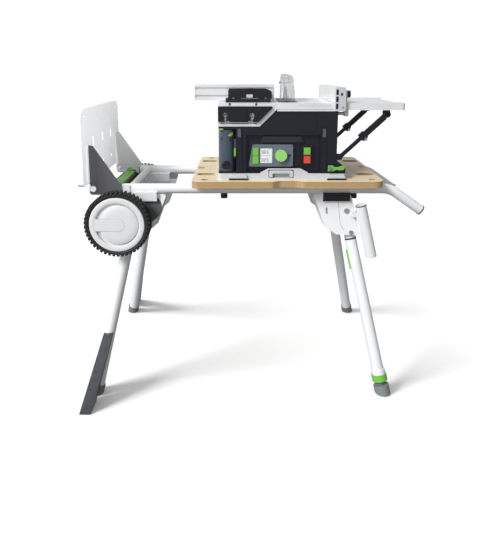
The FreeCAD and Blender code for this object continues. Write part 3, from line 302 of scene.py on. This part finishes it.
def paint(node, material, rule):
    """Gives the faces of a CAD node whose middle passes a rule another material."""
    mesh = NODES[node].data
    mesh.materials.append(material)
    index = len(mesh.materials) - 1
    for polygon in mesh.polygons:
        if rule(polygon.center, polygon.normal):
            polygon.material_index = index


# ---- Pieces: each is made in place, in millimetres, and rides on a CAD body ----

def settle(name, mesh, material, body, slot, replaces=(), smooth=SHARP, width=0.0):
    thing = bpy.data.objects.new(name, mesh)
    SCENE.collection.objects.link(thing)
    mesh.materials.clear()
    mesh.materials.append(material)
    for polygon in mesh.polygons:
        polygon.use_smooth = True
    if smooth:
        mesh.set_sharp_from_angle(angle=smooth)
    if width:
        edge = thing.modifiers.new("edges", "BEVEL")
        edge.width, edge.segments, edge.limit_method, edge.angle_limit = width, 2, "ANGLE", SHARP
        edge.harden_normals = True
    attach(thing, body)
    if replaces:
        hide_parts(*replaces)
    return thing


def mesh_of(points, faces):
    mesh = bpy.data.meshes.new("piece")
    mesh.from_pydata([tuple(c * MM for c in p) for p in points], [], faces)
    mesh.validate()
    made = bmesh.new()
    made.from_mesh(mesh)
    bmesh.ops.recalc_face_normals(made, faces=made.faces)
    made.to_mesh(mesh)
    made.free()
    return mesh


ORDER = {"xy": (0, 1, 2), "xz": (0, 2, 1), "yz": (1, 2, 0)}


def prism_data(loop, plane, low, high):
    """Corners and faces of a flat outline carried along the axis across its plane."""
    a, b, c = ORDER[plane]
    points, count = [], len(loop)
    for level in (low, high):
        for u, v in loop:
            point = [0, 0, 0]
            point[a], point[b], point[c] = u, v, level
            points.append(point)
    faces = [tuple(range(count)), tuple(range(count, 2 * count))]
    faces += [(i, (i + 1) % count, count + (i + 1) % count, count + i) for i in range(count)]
    return points, faces


def joined(parts):
    points, faces = [], []
    for more_points, more_faces in parts:
        start = len(points)
        points += more_points
        faces += [tuple(i + start for i in face) for face in more_faces]
    return mesh_of(points, faces)


def box_data(low, high):
    (x0, y0, z0), (x1, y1, z1) = low, high
    return prism_data([(x0, y0), (x1, y0), (x1, y1), (x0, y1)], "xy", z0, z1)


def arc(cx, cy, radius, start, end, steps=16):
    """Points on an arc, angles in degrees."""
    turns = [math.radians(start + (end - start) * i / steps) for i in range(steps + 1)]
    return [(cx + radius * math.cos(t), cy + radius * math.sin(t)) for t in turns]


def disc(cx, cy, radius, steps=48):
    return arc(cx, cy, radius, 0, 360 - 360 / steps, steps - 1)


def rounded(x0, y0, x1, y1, r, steps=6):
    return (arc(x1 - r, y1 - r, r, 0, 90, steps) + arc(x0 + r, y1 - r, r, 90, 180, steps)
            + arc(x0 + r, y0 + r, r, 180, 270, steps) + arc(x1 - r, y0 + r, r, 270, 360, steps))


def turned_data(profile, centre, axis, steps=96, start=0.0, end=360.0):
    """A profile of (radius, height) turned about an axis direction through a centre."""
    line = Vector(axis).normalized()
    side = line.orthogonal().normalized()
    other = line.cross(side)
    whole = abs(end - start - 360.0) < 1e-6
    count = steps if whole else steps + 1
    points = []
    for i in range(count):
        t = math.radians(start + (end - start) * i / steps)
        out = side * math.cos(t) + other * math.sin(t)
        points += [tuple(Vector(centre) + out * r + line * h) for r, h in profile]
    row, faces = len(profile), []
    for i in range(steps):
        j = (i + 1) % count
        for k in range(row - 1):
            faces.append((i * row + k, j * row + k, j * row + k + 1, i * row + k + 1))
    return points, faces


def rod_data(start, end, radius, steps=24, tip=0.0):
    """A round bar between two points, with an optional chamfer at both ends."""
    a, b = Vector(start), Vector(end)
    long = (b - a).length
    t = max(tip, 0.001)
    profile = [(0.0, 0.0), (radius - t, 0.0), (radius, t), (radius, long - t), (radius - t, long),
               (0.0, long)]
    return turned_data(profile, a, b - a, steps)


def piece(name, parts, material, body, slot, **more):
    return settle(name, joined(parts), material, body, slot, **more)


# ---- Wheels: a treaded tyre and a dished hub with an off-centre disc and a rounded bar ----

WHEEL_X, WHEEL_Z, TYRE_R = -422.0, 537.0, 100.0
TREADS, BAR_HIGH, BAR_TIP = 46, 19.0, 23.0
# The off-centre disc starts at this level and has a recess over the axle's end.
DOME_LEVEL, DOME_OFFSET, END_ROOM = 34.0, 5.4, 1.4


def on_wheel(side, x, z, out):
    """A point given from the wheel's centre and by its reach outward from the inner face."""
    return (WHEEL_X + x, side * (206 + out), WHEEL_Z + z)


def wheel_prism(side, loop, low, high):
    near = prism_data([(WHEEL_X + x, WHEEL_Z + z) for x, z in loop], "xz", side * (206 + low),
                      side * (206 + high))
    return near


def tread_block(side, angle, wide, low, high, skew):
    """One block of the tread: it stands about 4 mm out of the carcass and leans along the tyre."""
    points = []
    for radius in (93.0, TYRE_R - 0.2):
        for turn, out in ((angle, low), (angle + wide, low), (angle + wide + skew, high),
                          (angle + skew, high)):
            t = math.radians(turn)
            points.append(on_wheel(side, radius * math.cos(t), radius * math.sin(t), out))
    return points, [(0, 1, 2, 3), (4, 5, 6, 7), (0, 1, 5, 4), (1, 2, 6, 5), (2, 3, 7, 6), (3, 0, 4, 7)]


for side, tag in ((-1, "front"), (1, "back")):
    middle, out_way = on_wheel(side, 0, 0, 0), (0, side, 0)
    carcass = [(84.2, 5), (86, 2.5), (90, 0.8), (93.5, 1.2), (95.6, 4), (96, 16), (94.6, 17.5), (94.6, 26.5),
               (96, 28), (95.6, 40),
               (93.5, 42.8), (90, 43.2), (86, 41.5), (84.2, 39), (84.2, 5)]
    tyre_parts = [turned_data(carcass, middle, out_way, 120)]
    for i in range(TREADS):
        step = 360.0 / TREADS
        tyre_parts.append(tread_block(side, i * step, step * 0.64, 27.0, 43.6, step * 0.22))
        tyre_parts.append(tread_block(side, (i + 0.5) * step, step * 0.64, 0.4, 17.0, -step * 0.22))
    piece(f"tyre_tread_{tag}", tyre_parts, TYRE, f"wheel_{tag}", "tyre_rubber",
          replaces=(f"wheel_tyre_{tag}",), width=0.0007)
    dish = [(8.4, 1.2), (30, 1.2), (34, 10), (76, 10), (80, 1.2), (84, 1.2), (84, 40.6), (83, 42.2),
            (81, 42.8), (68.5, 42.8), (67.2, 42.2),
            (66.6, 41), (66.6, 35), (8.4, 35), (8.4, 1.2)]
    hub_parts = [turned_data(dish, middle, out_way, 128)]
    dome = [(0.0, DOME_LEVEL + END_ROOM), (12.0, DOME_LEVEL + END_ROOM), (12.0, DOME_LEVEL),
            (60.6, DOME_LEVEL),
            (60.6, 41.0), (60.0, 42.2), (58.6, 42.9), (40, 43.25), (0.0, 43.4)]
    hub_parts.append(turned_data(dome, on_wheel(side, DOME_OFFSET, 0, 0), out_way, 128))
    piece(f"wheel_disc_{tag}", hub_parts, HUB_WHITE, f"wheel_{tag}", "light_grey_plastic",
          replaces=(f"wheel_hub_{tag}",), width=0.0004)
    bar_loop = arc(BAR_TIP - BAR_HIGH, 0, BAR_HIGH, -90, 90, 20) + [(-64.0, BAR_HIGH), (-66.4, 8),
            (-66.4, -8), (-64.0, -BAR_HIGH)]
    piece(f"wheel_bar_{tag}", [wheel_prism(side, bar_loop, 34.5, 43.7)], HUB_WHITE, f"wheel_{tag}",
          "light_grey_plastic", width=0.0005)
    line_loop = (arc(BAR_TIP - BAR_HIGH, 0, BAR_HIGH + 0.9, -90, 90, 20)
                 + [(-62.0, BAR_HIGH + 0.9), (-62.0, BAR_HIGH + 0.2)] + arc(BAR_TIP - BAR_HIGH, 0,
                         BAR_HIGH + 0.2, 90, -90, 20)
                 + [(-62.0, -BAR_HIGH - 0.2), (-62.0, -BAR_HIGH - 0.9)])
    piece(f"wheel_line_{tag}", [wheel_prism(side, line_loop, 40.0, 43.45)], SEAM, f"wheel_{tag}",
          "light_grey_plastic")


# ---- Paint that follows the parts' own faces ----

for name in ("leg_left_front", "leg_left_back", "leg_right_back"):
    paint(name, RUBBER, lambda at, way: at.z < 0.0345)
# Painted shade on the toe plate's white gussets: dark grey on the front one, mid grey on the back one.
paint("toe_plate", FRONT_GUSSET_SHADE, lambda at, way: at.x > -0.5165 and -0.183 < at.y < -0.170 and at.z < 0.771)
paint("toe_plate", BACK_GUSSET_SHADE, lambda at, way: at.x > -0.5165 and 0.170 < at.y < 0.183 and at.z < 0.771)
paint("front_panels", CREST, lambda at, way: at.z > 0.776)
# Painted shadow: the board's shadow across the top of the right front bracket, painted black.
paint("leg_brackets", BLACK, lambda at,
      way: at.z > 0.6 and 0.2 < at.x < 0.3 and abs(way.y) > 0.6 and at.y < -0.178)
paint("extension_wing", BLACK, lambda at, way: at.z < 0.878 and at.x > 0.35)
paint("wing_rods", BLACK, lambda at, way: at.x > 0.37)

# ---- Console: display with figures, button marks, lamp and dial ----

SEGMENTS = {"0": "abcdef", "2": "abged", "4": "fgbc", "5": "afgcd", "6": "afgedc", "8": "abcdefg",
            "3": "abgcd", "1": "bc"}
STROKES = {"a": (0.1, 1.9, 0.9, 2.0), "g": (0.1, 0.95, 0.9, 1.05), "d": (0.1, 0.0, 0.9, 0.1),
           "f": (0.0, 1.05, 0.12, 1.95),
           "e": (0.0, 0.05, 0.12, 0.95), "b": (0.88, 1.05, 1.0, 1.95), "c": (0.88, 0.05, 1.0, 0.95)}


def figures(text, x, z, tall, y):
    """Seven-segment figures from left to right, as thin bars on the panel."""
    unit, parts = tall / 2.0, []
    for character in text:
        if character == ".":
            parts.append(box_data((x, y - 0.25, z), (x + 1.1, y, z + 1.1)))
            x += 2.4
            continue
        for stroke in SEGMENTS[character]:
            a, b, c, d = STROKES[stroke]
            grow = 0.32
            parts.append(box_data((x + a * unit - grow, y - 0.25, z + b * unit - grow),
                                  (x + c * unit + grow, y, z + d * unit + grow)))
        x += unit * 1.55
    return parts


display_pane = prism_data(rounded(11.6, 716.6, 49.4, 763.4, 1.5), "xz", -185.6, -184.8)
piece("display_pane", [display_pane], DISPLAY, "frame", "white_display", width=0.0002)
marks = figures("50.5", 17.5, 746.5, 8.4, -185.6) + figures("22.5", 17.5, 722.0, 8.4, -185.6)
marks.append(box_data((16, -185.75, 739.6), (45, -185.6, 740.0)))
piece("display_figures", marks, MARK_DARK, "frame", "black_plastic")
piece("status_lamp", [turned_data([(0, 0), (3.4, 0), (3.4, 1.2), (2.6, 1.9), (0, 2.1)], (102.5, -188.0, 741),
                                  (0, -1, 0), 32)],
      BLACK, "frame", "black_plastic", width=0.0002)
scale = []
for i in range(11):
    t = math.radians(-60 - i * 6)
    scale.append(disc(76 + 23.5 * math.cos(t), 741 + 23.5 * math.sin(t), 0.45, 10))
piece("dial_scale", [prism_data(loop, "xz", -188.3, -187.9) for loop in scale], MARK_LIGHT, "frame",
      "light_grey_plastic")

# ---- Side bay: marks on the cover, a lower knob and slots ----

piece("bay_mark_low", [prism_data([(-112.5, 819.5), (-100.0, 819.5), (-101.5, 823.5), (-112.5, 823.5)], "xz",
                                  -190.5, -189.9)],
      STICKER, "frame", "green_plastic")
bay_centre = (-89.0, -160.0)


def on_cover(angle, lift=0.25):
    """A plan point on the round cover, angle in degrees from straight ahead, growing to the right."""
    t = math.radians(angle)
    return bay_centre[0] + (27 + lift) * math.sin(t), bay_centre[1] - (27 + lift) * math.cos(t)


def cover_patch(name, rows, material, slot_name, lift=0.25, body="frame"):
    """A thin patch wrapped on the cover: rows of (height, left angle, right angle)."""
    points, faces, across = [], [], 10
    for z, start, end in rows:
        for i in range(across + 1):
            x, y = on_cover(start + (end - start) * i / across, lift)
            points.append((x, y, z))
    for r in range(len(rows) - 1):
        for i in range(across):
            a = r * (across + 1) + i
            faces.append((a, a + 1, a + across + 2, a + across + 1))
    return piece(name, [(points, faces)], material, body, slot_name)


cover_patch("bay_mark_top", [(800, 12, 34), (803, 4, 40), (808, 20, 42), (811, 34, 44)], STICKER,
            "green_plastic")
for tag, angle in (("left", -38), ("right", 22)):
    cover_patch(f"bay_slot_{tag}",
                [(784, angle - 3, angle + 3), (786, angle - 5, angle + 5), (794, angle - 5, angle + 5),
                                    (796, angle - 3, angle + 3)], BLACK, "black_plastic", 0.3)
knob_profile = [(0, 0), (13.5, 0), (13.5, 2.2), (12.2, 4.4), (8.5, 5.2), (8.0, 4.4), (0, 4.2)]
piece("bay_lower_knob", [turned_data(knob_profile, (-93, -186.0, 711), (0, -1, 0), 48)], BLACK, "frame",
      "black_plastic", width=0.0003)
cover_patch("bay_rib", [(700.0, -58, 58), (701.4, -58, 58)], BLACK, "black_plastic", 0.35)

# ---- Tray: dark feet under the latches, and the green lever shaped like an arrow ----

for i, x in enumerate((-84.0, 217.0)):
    piece(f"tray_foot_{i}", [prism_data(rounded(x, 666.2, x + 60, 671.2, 2.2), "xz", -203.0, -199.8)], BLACK,
          "frame", "black_plastic",
          width=0.0004)
# The lever's outline runs in through a narrow slit and round the bore for its screw.
LEVER_PIVOT, LEVER_BORE = (226, 704), 3.1
bore_ring = [(LEVER_PIVOT[0] + LEVER_BORE * math.cos(math.radians(turn)),
              LEVER_PIVOT[1] + LEVER_BORE * math.sin(math.radians(turn))) for turn in range(182, 539, 12)]
lever_loop = [(218.5, 693.8), (219.07, 703.9), *bore_ring, (219.08, 704.1), (219.5, 711.5), (233, 711.8),
              (240, 706.5), (252, 707.2), (262, 710.5), (272, 709.0), (269.5, 703.0),
              (266, 697.5), (254, 697.0), (244, 698.6), (236, 694.8)]
piece("lever_arrow", [prism_data(lever_loop, "xz", -204.2, -198.4)],
      GREEN, "base_lever", "green_plastic", replaces=("base_lever",), width=0.0012)

# ---- Screws: a dished head with a six-sided socket ----


def screw(name, at, way, radius, material, body, slot_name, high=2.0):
    """A round screw head standing on a surface, with its socket sunk in."""
    head = [(radius * 0.5, high * 0.45), (radius * 0.52, high), (radius * 0.86, high), (radius, high * 0.6),
            (radius, 0)]
    socket = [(0, high * 0.45), (radius * 0.5, high * 0.45)]
    parts = [turned_data(head, at, way, 32), turned_data(socket, at, way, 6)]
    return piece(name, parts, material, body, slot_name)


for i, (x, z) in enumerate(((18, 865.5), (180, 865.5), (18, 816.5), (180, 816.5))):
    screw(f"fascia_screw_{i}", (x, -188.3, z), (0, -1, 0), 1.9, BLACK, "frame", "black_plastic", 0.9)
for i, (x, z) in enumerate(((-19, 770), (109, 770), (-19, 710), (109, 710))):
    screw(f"console_screw_{i}", (x, -188.0, z), (0, -1, 0), 1.5, BLACK, "frame", "black_plastic", 0.6)
# Painted highlight: a lighter grey strip on the top of each pillar stands for the light on its rounded edge.
for i, x in enumerate((-51.5, 206.5)):
    highlight_loop = [(x - 5.5, 798), (x + 5.5, 798), (x + 4.6, 823), (x - 4.6, 823)]
    piece(f"pillar_top_{i}", [prism_data(highlight_loop, "xz", -194.5, -193.9)], PILLAR_HIGHLIGHT_GREY, "frame", "dark_housing",
          width=0.0006)
for i, (x, z) in enumerate(((-51.5, 700), (206.5, 700), (-51.5, 785), (206.5, 785))):
    screw(f"pillar_screw_{i}", (x, -194.0, z), (0, -1, 0), 2.6, BLACK, "frame", "black_plastic", 1.2)
for i, x in enumerate((-94, -14)):
    piece(f"rail_end_{i}", [rod_data((x, -191.5, 861), (x, -197.2, 861), 3.4, 20, 0.6),
                            rod_data((x, -191.5, 849.5), (x, -198.6, 849.5), 1.3, 12, 0.2),
                            prism_data(rounded(x - 1.2, 844.6, x + 1.2, 858, 0.8), "xz", -198.7, -198.1)],
          ZINC, "sliding_table", "zinc_steel")

# ---- Table: the insert's screws, the scale along the front edge and a seam under it ----

for i, (x, y) in enumerate(((76, -146), (124, -146), (76, 72), (124, 72))):
    screw(f"insert_screw_{i}", (x, y, 899.75), (0, 0, 1), 3.0, ZINC, "frame", "zinc_steel", 0.35)
ticks = [box_data((128 + i * 5.0, -190.25, 893 - (3.0 if i % 2 == 0 else 1.6)),
                  (128.4 + i * 5.0, -189.95, 896)) for i in range(20)]
piece("edge_scale", ticks, MARK_DARK, "frame", "black_plastic")
piece("table_lip", [prism_data([(63.5, 881.4), (271.6, 881.4), (271.6, 882.2), (63.5, 882.2)], "xz", -190.35,
                               -189.9)],
      SEAM, "frame", "aluminium")

# ---- Angle stop: ribbed head, scale quadrant, ribbed knob and the rail's end caps ----

head_parts = [box_data((-84 + i * 7.4, -146.6, 914), (-81.4 + i * 7.4, -146.0, 931)) for i in range(18)]
piece("angle_head_ribs", head_parts, BLACK, "angle_stop", "black_plastic", width=0.0004)
quadrant = arc(-20, -150, 30, 200, 340, 24) + arc(-20, -150, 22, 340, 200, 24)
piece("angle_quadrant", [prism_data([(x, y + 14) for x, y in quadrant], "xy", 911.9, 912.9)], MID_GREY,
      "angle_stop", "mid_grey_plastic",
      width=0.0003)
quad_marks = []
for i in range(29):
    t = math.radians(202 + i * 4.86)
    near, far = 29.4, 26.2 if i % 2 else 24.6
    a, b = (-20 + near * math.cos(t), -136 + near * math.sin(t)), (-20 + far * math.cos(t),
            -136 + far * math.sin(t))
    side = (0.18 * math.sin(t), -0.18 * math.cos(t))
    quad_marks.append(prism_data([(a[0] + side[0], a[1] + side[1]), (a[0] - side[0], a[1] - side[1]),
                                  (b[0] - side[0], b[1] - side[1]), (b[0] + side[0], b[1] + side[1])], "xy",
                                  912.8, 913.1))
piece("angle_marks", quad_marks, MARK_LIGHT, "angle_stop", "light_grey_plastic")
piece("angle_pointer", [prism_data([(-22.5, -154.2), (-17.5, -154.2), (-20, -150.5)], "xy", 912.6, 913.6),
                        prism_data(rounded(-30, 914.5, -10, 924, 2), "xz", -147.4, -145.9)], LIGHT_GREY,
                        "angle_stop",
      "light_grey_plastic", width=0.0003)
ribs = []
for i in range(20):
    t = math.radians(i * 18)
    ribs.append(rod_data((-20 + 12.0 * math.cos(t), -130 + 12.0 * math.sin(t), 923.4),
                         (-20 + 12.0 * math.cos(t), -130 + 12.0 * math.sin(t), 937.6), 1.1, 10, 0.5))
piece("stop_knob_ribs", ribs, BLACK, "stop_knob", "black_plastic")
for tag, x0, x1 in (("right", 57.0, 59.4), ("left", -193.6, -192.0)):
    piece(f"fence_end_{tag}", [prism_data(rounded(-90.0, 902.0, -72.0, 954.0, 1.2), "yz", x0, x1)],
          LIGHT_GREY, "angle_stop",
          "light_grey_plastic", width=0.0005)
screw("fence_end_screw", (59.4, -81, 928), (1, 0, 0), 3.0, BLACK, "angle_stop", "black_plastic", 1.2)
for i, x in enumerate((-70, 30)):
    screw(f"stop_base_screw_{i}", (x, -148, 911.9), (0, 0, 1), 3.4, ZINC, "angle_stop", "zinc_steel", 1.6)

# ---- Rip fence: end plate with dark inserts, pointer and knob ribs ----

for i, (low, high) in enumerate(((884, 900), (905, 921), (926, 942))):
    piece(f"fence_insert_{i}", [prism_data(rounded(236.8, low, 243.6, high, 1.2), "xz", -205.9, -204.8)],
          BLACK, "rip_fence",
          "black_plastic", width=0.0003)
piece("fence_window", [prism_data(rounded(250.5, 924, 256.5, 931, 1.0), "xz", -205.7, -204.8)], BLACK,
      "rip_fence", "black_plastic",
      width=0.0002)
screw("fence_clamp_screw", (257.5, -205.0, 889), (0, -1, 0), 3.2, ZINC, "rip_fence", "zinc_steel", 1.8)
piece("fence_pointer", [rod_data((262, -203.4, 870), (262, -203.4, 880), 1.0, 12, 0.3)], ZINC, "rip_fence",
      "zinc_steel")
knob_ribs = []
for i in range(18):
    t = math.radians(i * 20)
    y, z = -160 + 10.0 * math.cos(t), 926 + 10.0 * math.sin(t)
    knob_ribs.append(rod_data((276.4, y, z), (286.6, y, z), 1.1, 10, 0.4))
piece("fence_knob_ribs", knob_ribs, BLACK, "fence_knob", "black_plastic")

# ---- Struts: the clamping collars' nuts and their screws ----

STRUT_FROM, STRUT_TO = Vector((258, 0, 735)), Vector((397, 0, 866))
NUT_ALONG, NUT_ASIDE, NUT_R = 94, 11.5, 5.3
strut_line = (STRUT_TO - STRUT_FROM).normalized()
strut_side = Vector((strut_line.z, 0, -strut_line.x))
for tag, y in (("front", -182.0), ("back", 66.0)):
    hub_at = STRUT_FROM + strut_line * NUT_ALONG + strut_side * NUT_ASIDE
    nut = [rod_data((hub_at.x, y - 6.0, hub_at.z), (hub_at.x, y + 6.0, hub_at.z), NUT_R, 28, 1.0)]
    piece(f"strut_nut_{tag}", nut, BLACK, "strut_upper", "black_plastic")
    screw(f"strut_screw_{tag}", (hub_at.x, y - 6.0, hub_at.z), (0, -1, 0), 4.4, ZINC, "strut_upper",
          "zinc_steel", 1.8)

# ---- Blade: hard tips on its teeth ----

# One tip sits on each tooth of the CAD blade, behind its straight face, clear of the riving knife's stalk.
TEETH, BLADE_MID, BLADE_R, TIP_HALF = 36, (99.0, -50.0, 862.0), 84.0, 0.95
teeth = []
for i in range(TEETH):
    t = math.radians(i * 360.0 / TEETH)
    loop = [(BLADE_MID[1] + r * math.cos(t + math.radians(turn)),
             BLADE_MID[2] + r * math.sin(t + math.radians(turn)))
            for r, turn in ((BLADE_R - 4.5, -1.7), (BLADE_R - 1.8, -1.7), (BLADE_R - 0.05, 0.0),
                            (BLADE_R - 4.5, 0.45))]
    teeth.append(prism_data(loop, "yz", BLADE_MID[0] - TIP_HALF, BLADE_MID[0] + TIP_HALF))
piece("blade_tips", teeth, TIP, "blade", "blade_steel")

# ---- Board: plugs in two of its holes, and its sunk screws ----

piece("board_plug_right", [rod_data((370, 18, 646), (370, 18, 664.5), 8.8, 40, 1.2)], GREEN, "frame",
      "green_plastic")
piece("board_plug_front", [rod_data((358, -190, 646), (358, -190, 660.5), 10.7, 40, 1.2)], OLIVE, "frame",
      "green_plastic")
for i, (x, y) in enumerate(((-100, -154), (-100, 154), (296, -154), (296, 154))):
    screw(f"board_screw_{i}", (x, y, 665.7), (0, 0, 1), 6.0, ZINC, "frame", "zinc_steel", 0.25)

# ---- Brackets: pressed lines on their cheeks, and a painted shadow of the wheel on the left ones ----

SPLAY = math.atan2(0.2184, 0.956)


def cheek_point(end, side, along, down, out):
    """A point in a bracket cheek's plane: along the frame, down from the hinge bolt, and outward."""
    hinge = Vector((285.0 if end == "right" else -385.0, 150.0 * side, 556.0))
    down_way = Vector((0, side * math.sin(SPLAY), -math.cos(SPLAY)))
    out_way = Vector((0, side * math.cos(SPLAY), math.sin(SPLAY)))
    return tuple(hinge + Vector((1, 0, 0)) * along + down_way * down + out_way * out)


def cheek_plate(name, end, side, loop, low, high, material, slot_name, width=0.0003):
    points, count = [], len(loop)
    for level in (low, high):
        points += [cheek_point(end, side, u, v, level) for u, v in loop]
    faces = [tuple(range(count)), tuple(range(count, 2 * count))]
    faces += [(i, (i + 1) % count, count + (i + 1) % count, count + i) for i in range(count)]
    return piece(name, [(points, faces)], material, "frame", slot_name, width=width)


def stroke(path, wide):
    """A line of even width through plan points, as a closed loop."""
    left, right = [], []
    for i, (x, y) in enumerate(path):
        before, after = path[max(i - 1, 0)], path[min(i + 1, len(path) - 1)]
        dx, dy = after[0] - before[0], after[1] - before[1]
        size = math.hypot(dx, dy) or 1.0
        left.append((x - dy / size * wide / 2, y + dx / size * wide / 2))
        right.append((x + dy / size * wide / 2, y - dx / size * wide / 2))
    return left + right[::-1]


for side, tag in ((-1, "front"), (1, "back")):
    # Painted shadow: a dark grey lobe on each left cheek stands for the wheel's shadow on the white bracket.
    cheek_plate(f"bracket_lobe_{tag}", "left", side, arc(48, -10, 42, -78, 64, 22)
                + [(44, 52), (20, 66), (-20, 66), (-30, 40), (-10, 6), (26, -34)],
                28.05, 28.7, WHEEL_SHADOW_GREY, "mid_grey_plastic")
    cheek_plate(f"bracket_line_{tag}", "left", side,
                stroke([(38, -52), (40, -58), (62, -58), (66, -62), (66, -70), (98, -70)], 0.9),
                27.9, 28.35, SEAM, "white_steel", width=0)
    cheek_plate(f"bracket_step_{tag}", "right", side,
                stroke([(-26, -60), (-24, -10), (-20, 40), (-8, 62)], 1.2),
                27.9, 28.45, SEAM, "white_steel", width=0)

# ---- Legs: release strip, buttons and collars; the holster's rim ----


def leg_point(end, side, far, across=0.0, out=0.0):
    """A point along a leg's axis from its hinge, moved across the leg along the frame, or outward."""
    hinge = Vector((285.0 if end == "right" else -385.0, 150.0 * side, 556.0))
    foot = Vector((399.0 if end == "right" else -499.0, 277.0 * side, 0.0))
    way = (foot - hinge).normalized()
    level = Vector((1, 0, 0)) - way * way.x
    level.normalize()
    outward = way.cross(level) * (1 if side > 0 else -1)
    return hinge + way * far + level * across + outward * out


strip_start, strip_end = leg_point("right", -1, 122, -18.0), leg_point("right", -1, 186, -18.0)
piece("leg_release_strip", [rod_data(strip_start, strip_end, 4.2, 20, 2.4)], GREEN, "leg_right_front",
      "green_plastic")
for i, far in enumerate((372, 402)):
    face, middle = leg_point("left", 1, far, 0.0, -17.4), leg_point("left", 1, far)
    away = (face - middle).normalized()
    piece(f"leg_button_back_{i}", [rod_data(face, face + away * 1.4, 3.4, 20, 0.5)], SEAM, "leg_left_back",
          "zinc_steel")
rim_way = Vector((40, 0, -168)).normalized()
rim_at = Vector((322, -208, 590))
piece("holster_rim", [turned_data([(14.6, 0.6), (14.6, 0.2), (17.2, 0.2), (17.5, 0.8), (17.4, 3.2),
                                   (17.02, 3.6)], rim_at, rim_way, 48)],
      BLACK, "frame", "black_plastic")
for end, side, tag in (("right", -1, "front"), ("right", 1, "back")):
    collar_from, collar_to = leg_point(end, side, 88), leg_point(end, side, 93)
    piece(f"leg_collar_{tag}", [rod_data(collar_from, collar_to, 18.35, 40, 0.3)], MARK_DARK,
          f"leg_{end}_{'front' if side < 0 else 'back'}",
          "black_plastic")


# ---- Floor, light and camera ----

def plain(name, colour, rough=0.9, glow=0.0):
    made, tree, shader = new_material(name)
    soft = noise(tree, place(tree), 1.5, 2.0)
    tree.links.new(ramp(tree, soft, [(0.3, tone(colour, 0.995)), (0.7, colour)]), shader.inputs["Base Color"])
    shader.inputs["Roughness"].default_value = rough
    shader.inputs["Specular IOR Level"].default_value = 0.1
    shader.inputs["Emission Color"].default_value = (1, 1, 1, 1)
    shader.inputs["Emission Strength"].default_value = glow
    return made


FLOOR_SIDE = 30.0
floor_mesh = bpy.data.meshes.new("floor")
floor_mesh.from_pydata([(-FLOOR_SIDE, -FLOOR_SIDE, -0.0005), (FLOOR_SIDE, -FLOOR_SIDE, -0.0005),
                        (FLOOR_SIDE, FLOOR_SIDE, -0.0005), (-FLOOR_SIDE, FLOOR_SIDE, -0.0005)], [],
                        [(0, 1, 2, 3)])
floor_mesh.materials.append(plain("floor_white", (0.90, 0.90, 0.90), glow=0.06))
floor = bpy.data.objects.new("floor", floor_mesh)
SCENE.collection.objects.link(floor)
floor.visible_diffuse = floor.visible_glossy = False

world = bpy.data.worlds.new("studio")
world.use_nodes = True
SCENE.world = world
studio = world.node_tree
sky = studio.nodes["Background"]
sky.inputs["Color"].default_value = (1.0, 1.0, 1.0, 1)
seen = add(studio, "LightPath")
facing = add(studio, "TexCoord")
parts_of = add(studio, "SeparateXYZ")
studio.links.new(facing.outputs["Generated"], parts_of.inputs[0])


def maths(operation, first, second):
    made = studio.nodes.new("ShaderNodeMath")
    made.operation, made.use_clamp = operation, False
    for socket, value in zip(made.inputs, (first, second)):
        if isinstance(value, float):
            socket.default_value = value
        else:
            studio.links.new(value, socket)
    return made.outputs[0]


# The room is brighter above and to the left than below and to the right; the camera itself sees plain white.
room = maths("MULTIPLY_ADD", parts_of.outputs["Z"], 0.26)
room.node.inputs[2].default_value = 0.40
room = maths("ADD", room, maths("MULTIPLY", parts_of.outputs["X"], -0.13))
room = maths("MAXIMUM", room, 0.06)
white = maths("MULTIPLY", seen.outputs["Is Camera Ray"], 2.0)
studio.links.new(maths("MAXIMUM", room, white), sky.inputs["Strength"])


def aimed(name, lamp, where, target):
    thing = bpy.data.objects.new(name, lamp)
    thing.location = where
    thing.rotation_euler = (Vector(target) - Vector(where)).to_track_quat("-Z", "Y").to_euler()
    SCENE.collection.objects.link(thing)
    return thing


def group(name, members):
    made = bpy.data.collections.new(name)
    for member in members:
        made.objects.link(member)
    return made


# Two suns: one lights the object. The other comes from further round to the left and lights the floor,
# where only the legs shade it.
shown = [o for o in bpy.data.objects if o.type == "MESH" and o is not floor]
near_floor = [o for o in shown if o.get("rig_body", "").startswith(("leg_", "adjuster_"))]
for name, power, spread_angle, lit, sun_from in (("key", 2.7, 20, shown, (-2.0, -1.9, 2.3)),
                                                 ("floor_key", 2.6, 19, [floor], (-2.0, -0.6, 2.2))):
    sun = bpy.data.lights.new(name, "SUN")
    sun.energy, sun.angle = power, math.radians(spread_angle)
    lamp = aimed(name, sun, sun_from, (0, 0, 0))
    lamp.light_linking.receiver_collection = group(name + "_lit", lit)
    if name == "floor_key":
        lamp.light_linking.blocker_collection = group(name + "_shade", near_floor)
strip = bpy.data.lights.new("strip", "AREA")
strip.shape, strip.size, strip.size_y, strip.energy = "RECTANGLE", 0.5, 1.4, 16
side_fill = bpy.data.lights.new("side_fill", "AREA")
side_fill.shape, side_fill.size, side_fill.size_y, side_fill.energy = "RECTANGLE", 0.8, 0.8, 38
fill_lamp = aimed("side_fill", side_fill, (0.9, -1.1, 1.6), (-0.52, 0.0, 0.8))
fill_lamp.light_linking.receiver_collection = group("fill_lit", [NODES["toe_plate"]])
strip_lamp = aimed("strip", strip, (-1.7, -2.4, 1.6), (0.0, -0.1, 0.7))
strip_lamp.light_linking.receiver_collection = group("strip_lit", shown)

EYE, LOOK_DOWN, SHIFT, LENS = (-0.0464, -1.741, 1.0033), 10.1, -0.20, 34.7
camera_data = bpy.data.cameras.new("camera")
camera_data.lens, camera_data.sensor_width, camera_data.shift_y = LENS, 36.0, SHIFT
camera = bpy.data.objects.new("camera", camera_data)
camera.location = EYE
camera.rotation_euler = (math.radians(90 - LOOK_DOWN), 0, 0)
SCENE.collection.objects.link(camera)
SCENE.camera = camera
SCENE.view_settings.view_transform = "Standard"
SCENE.view_settings.look = "None"
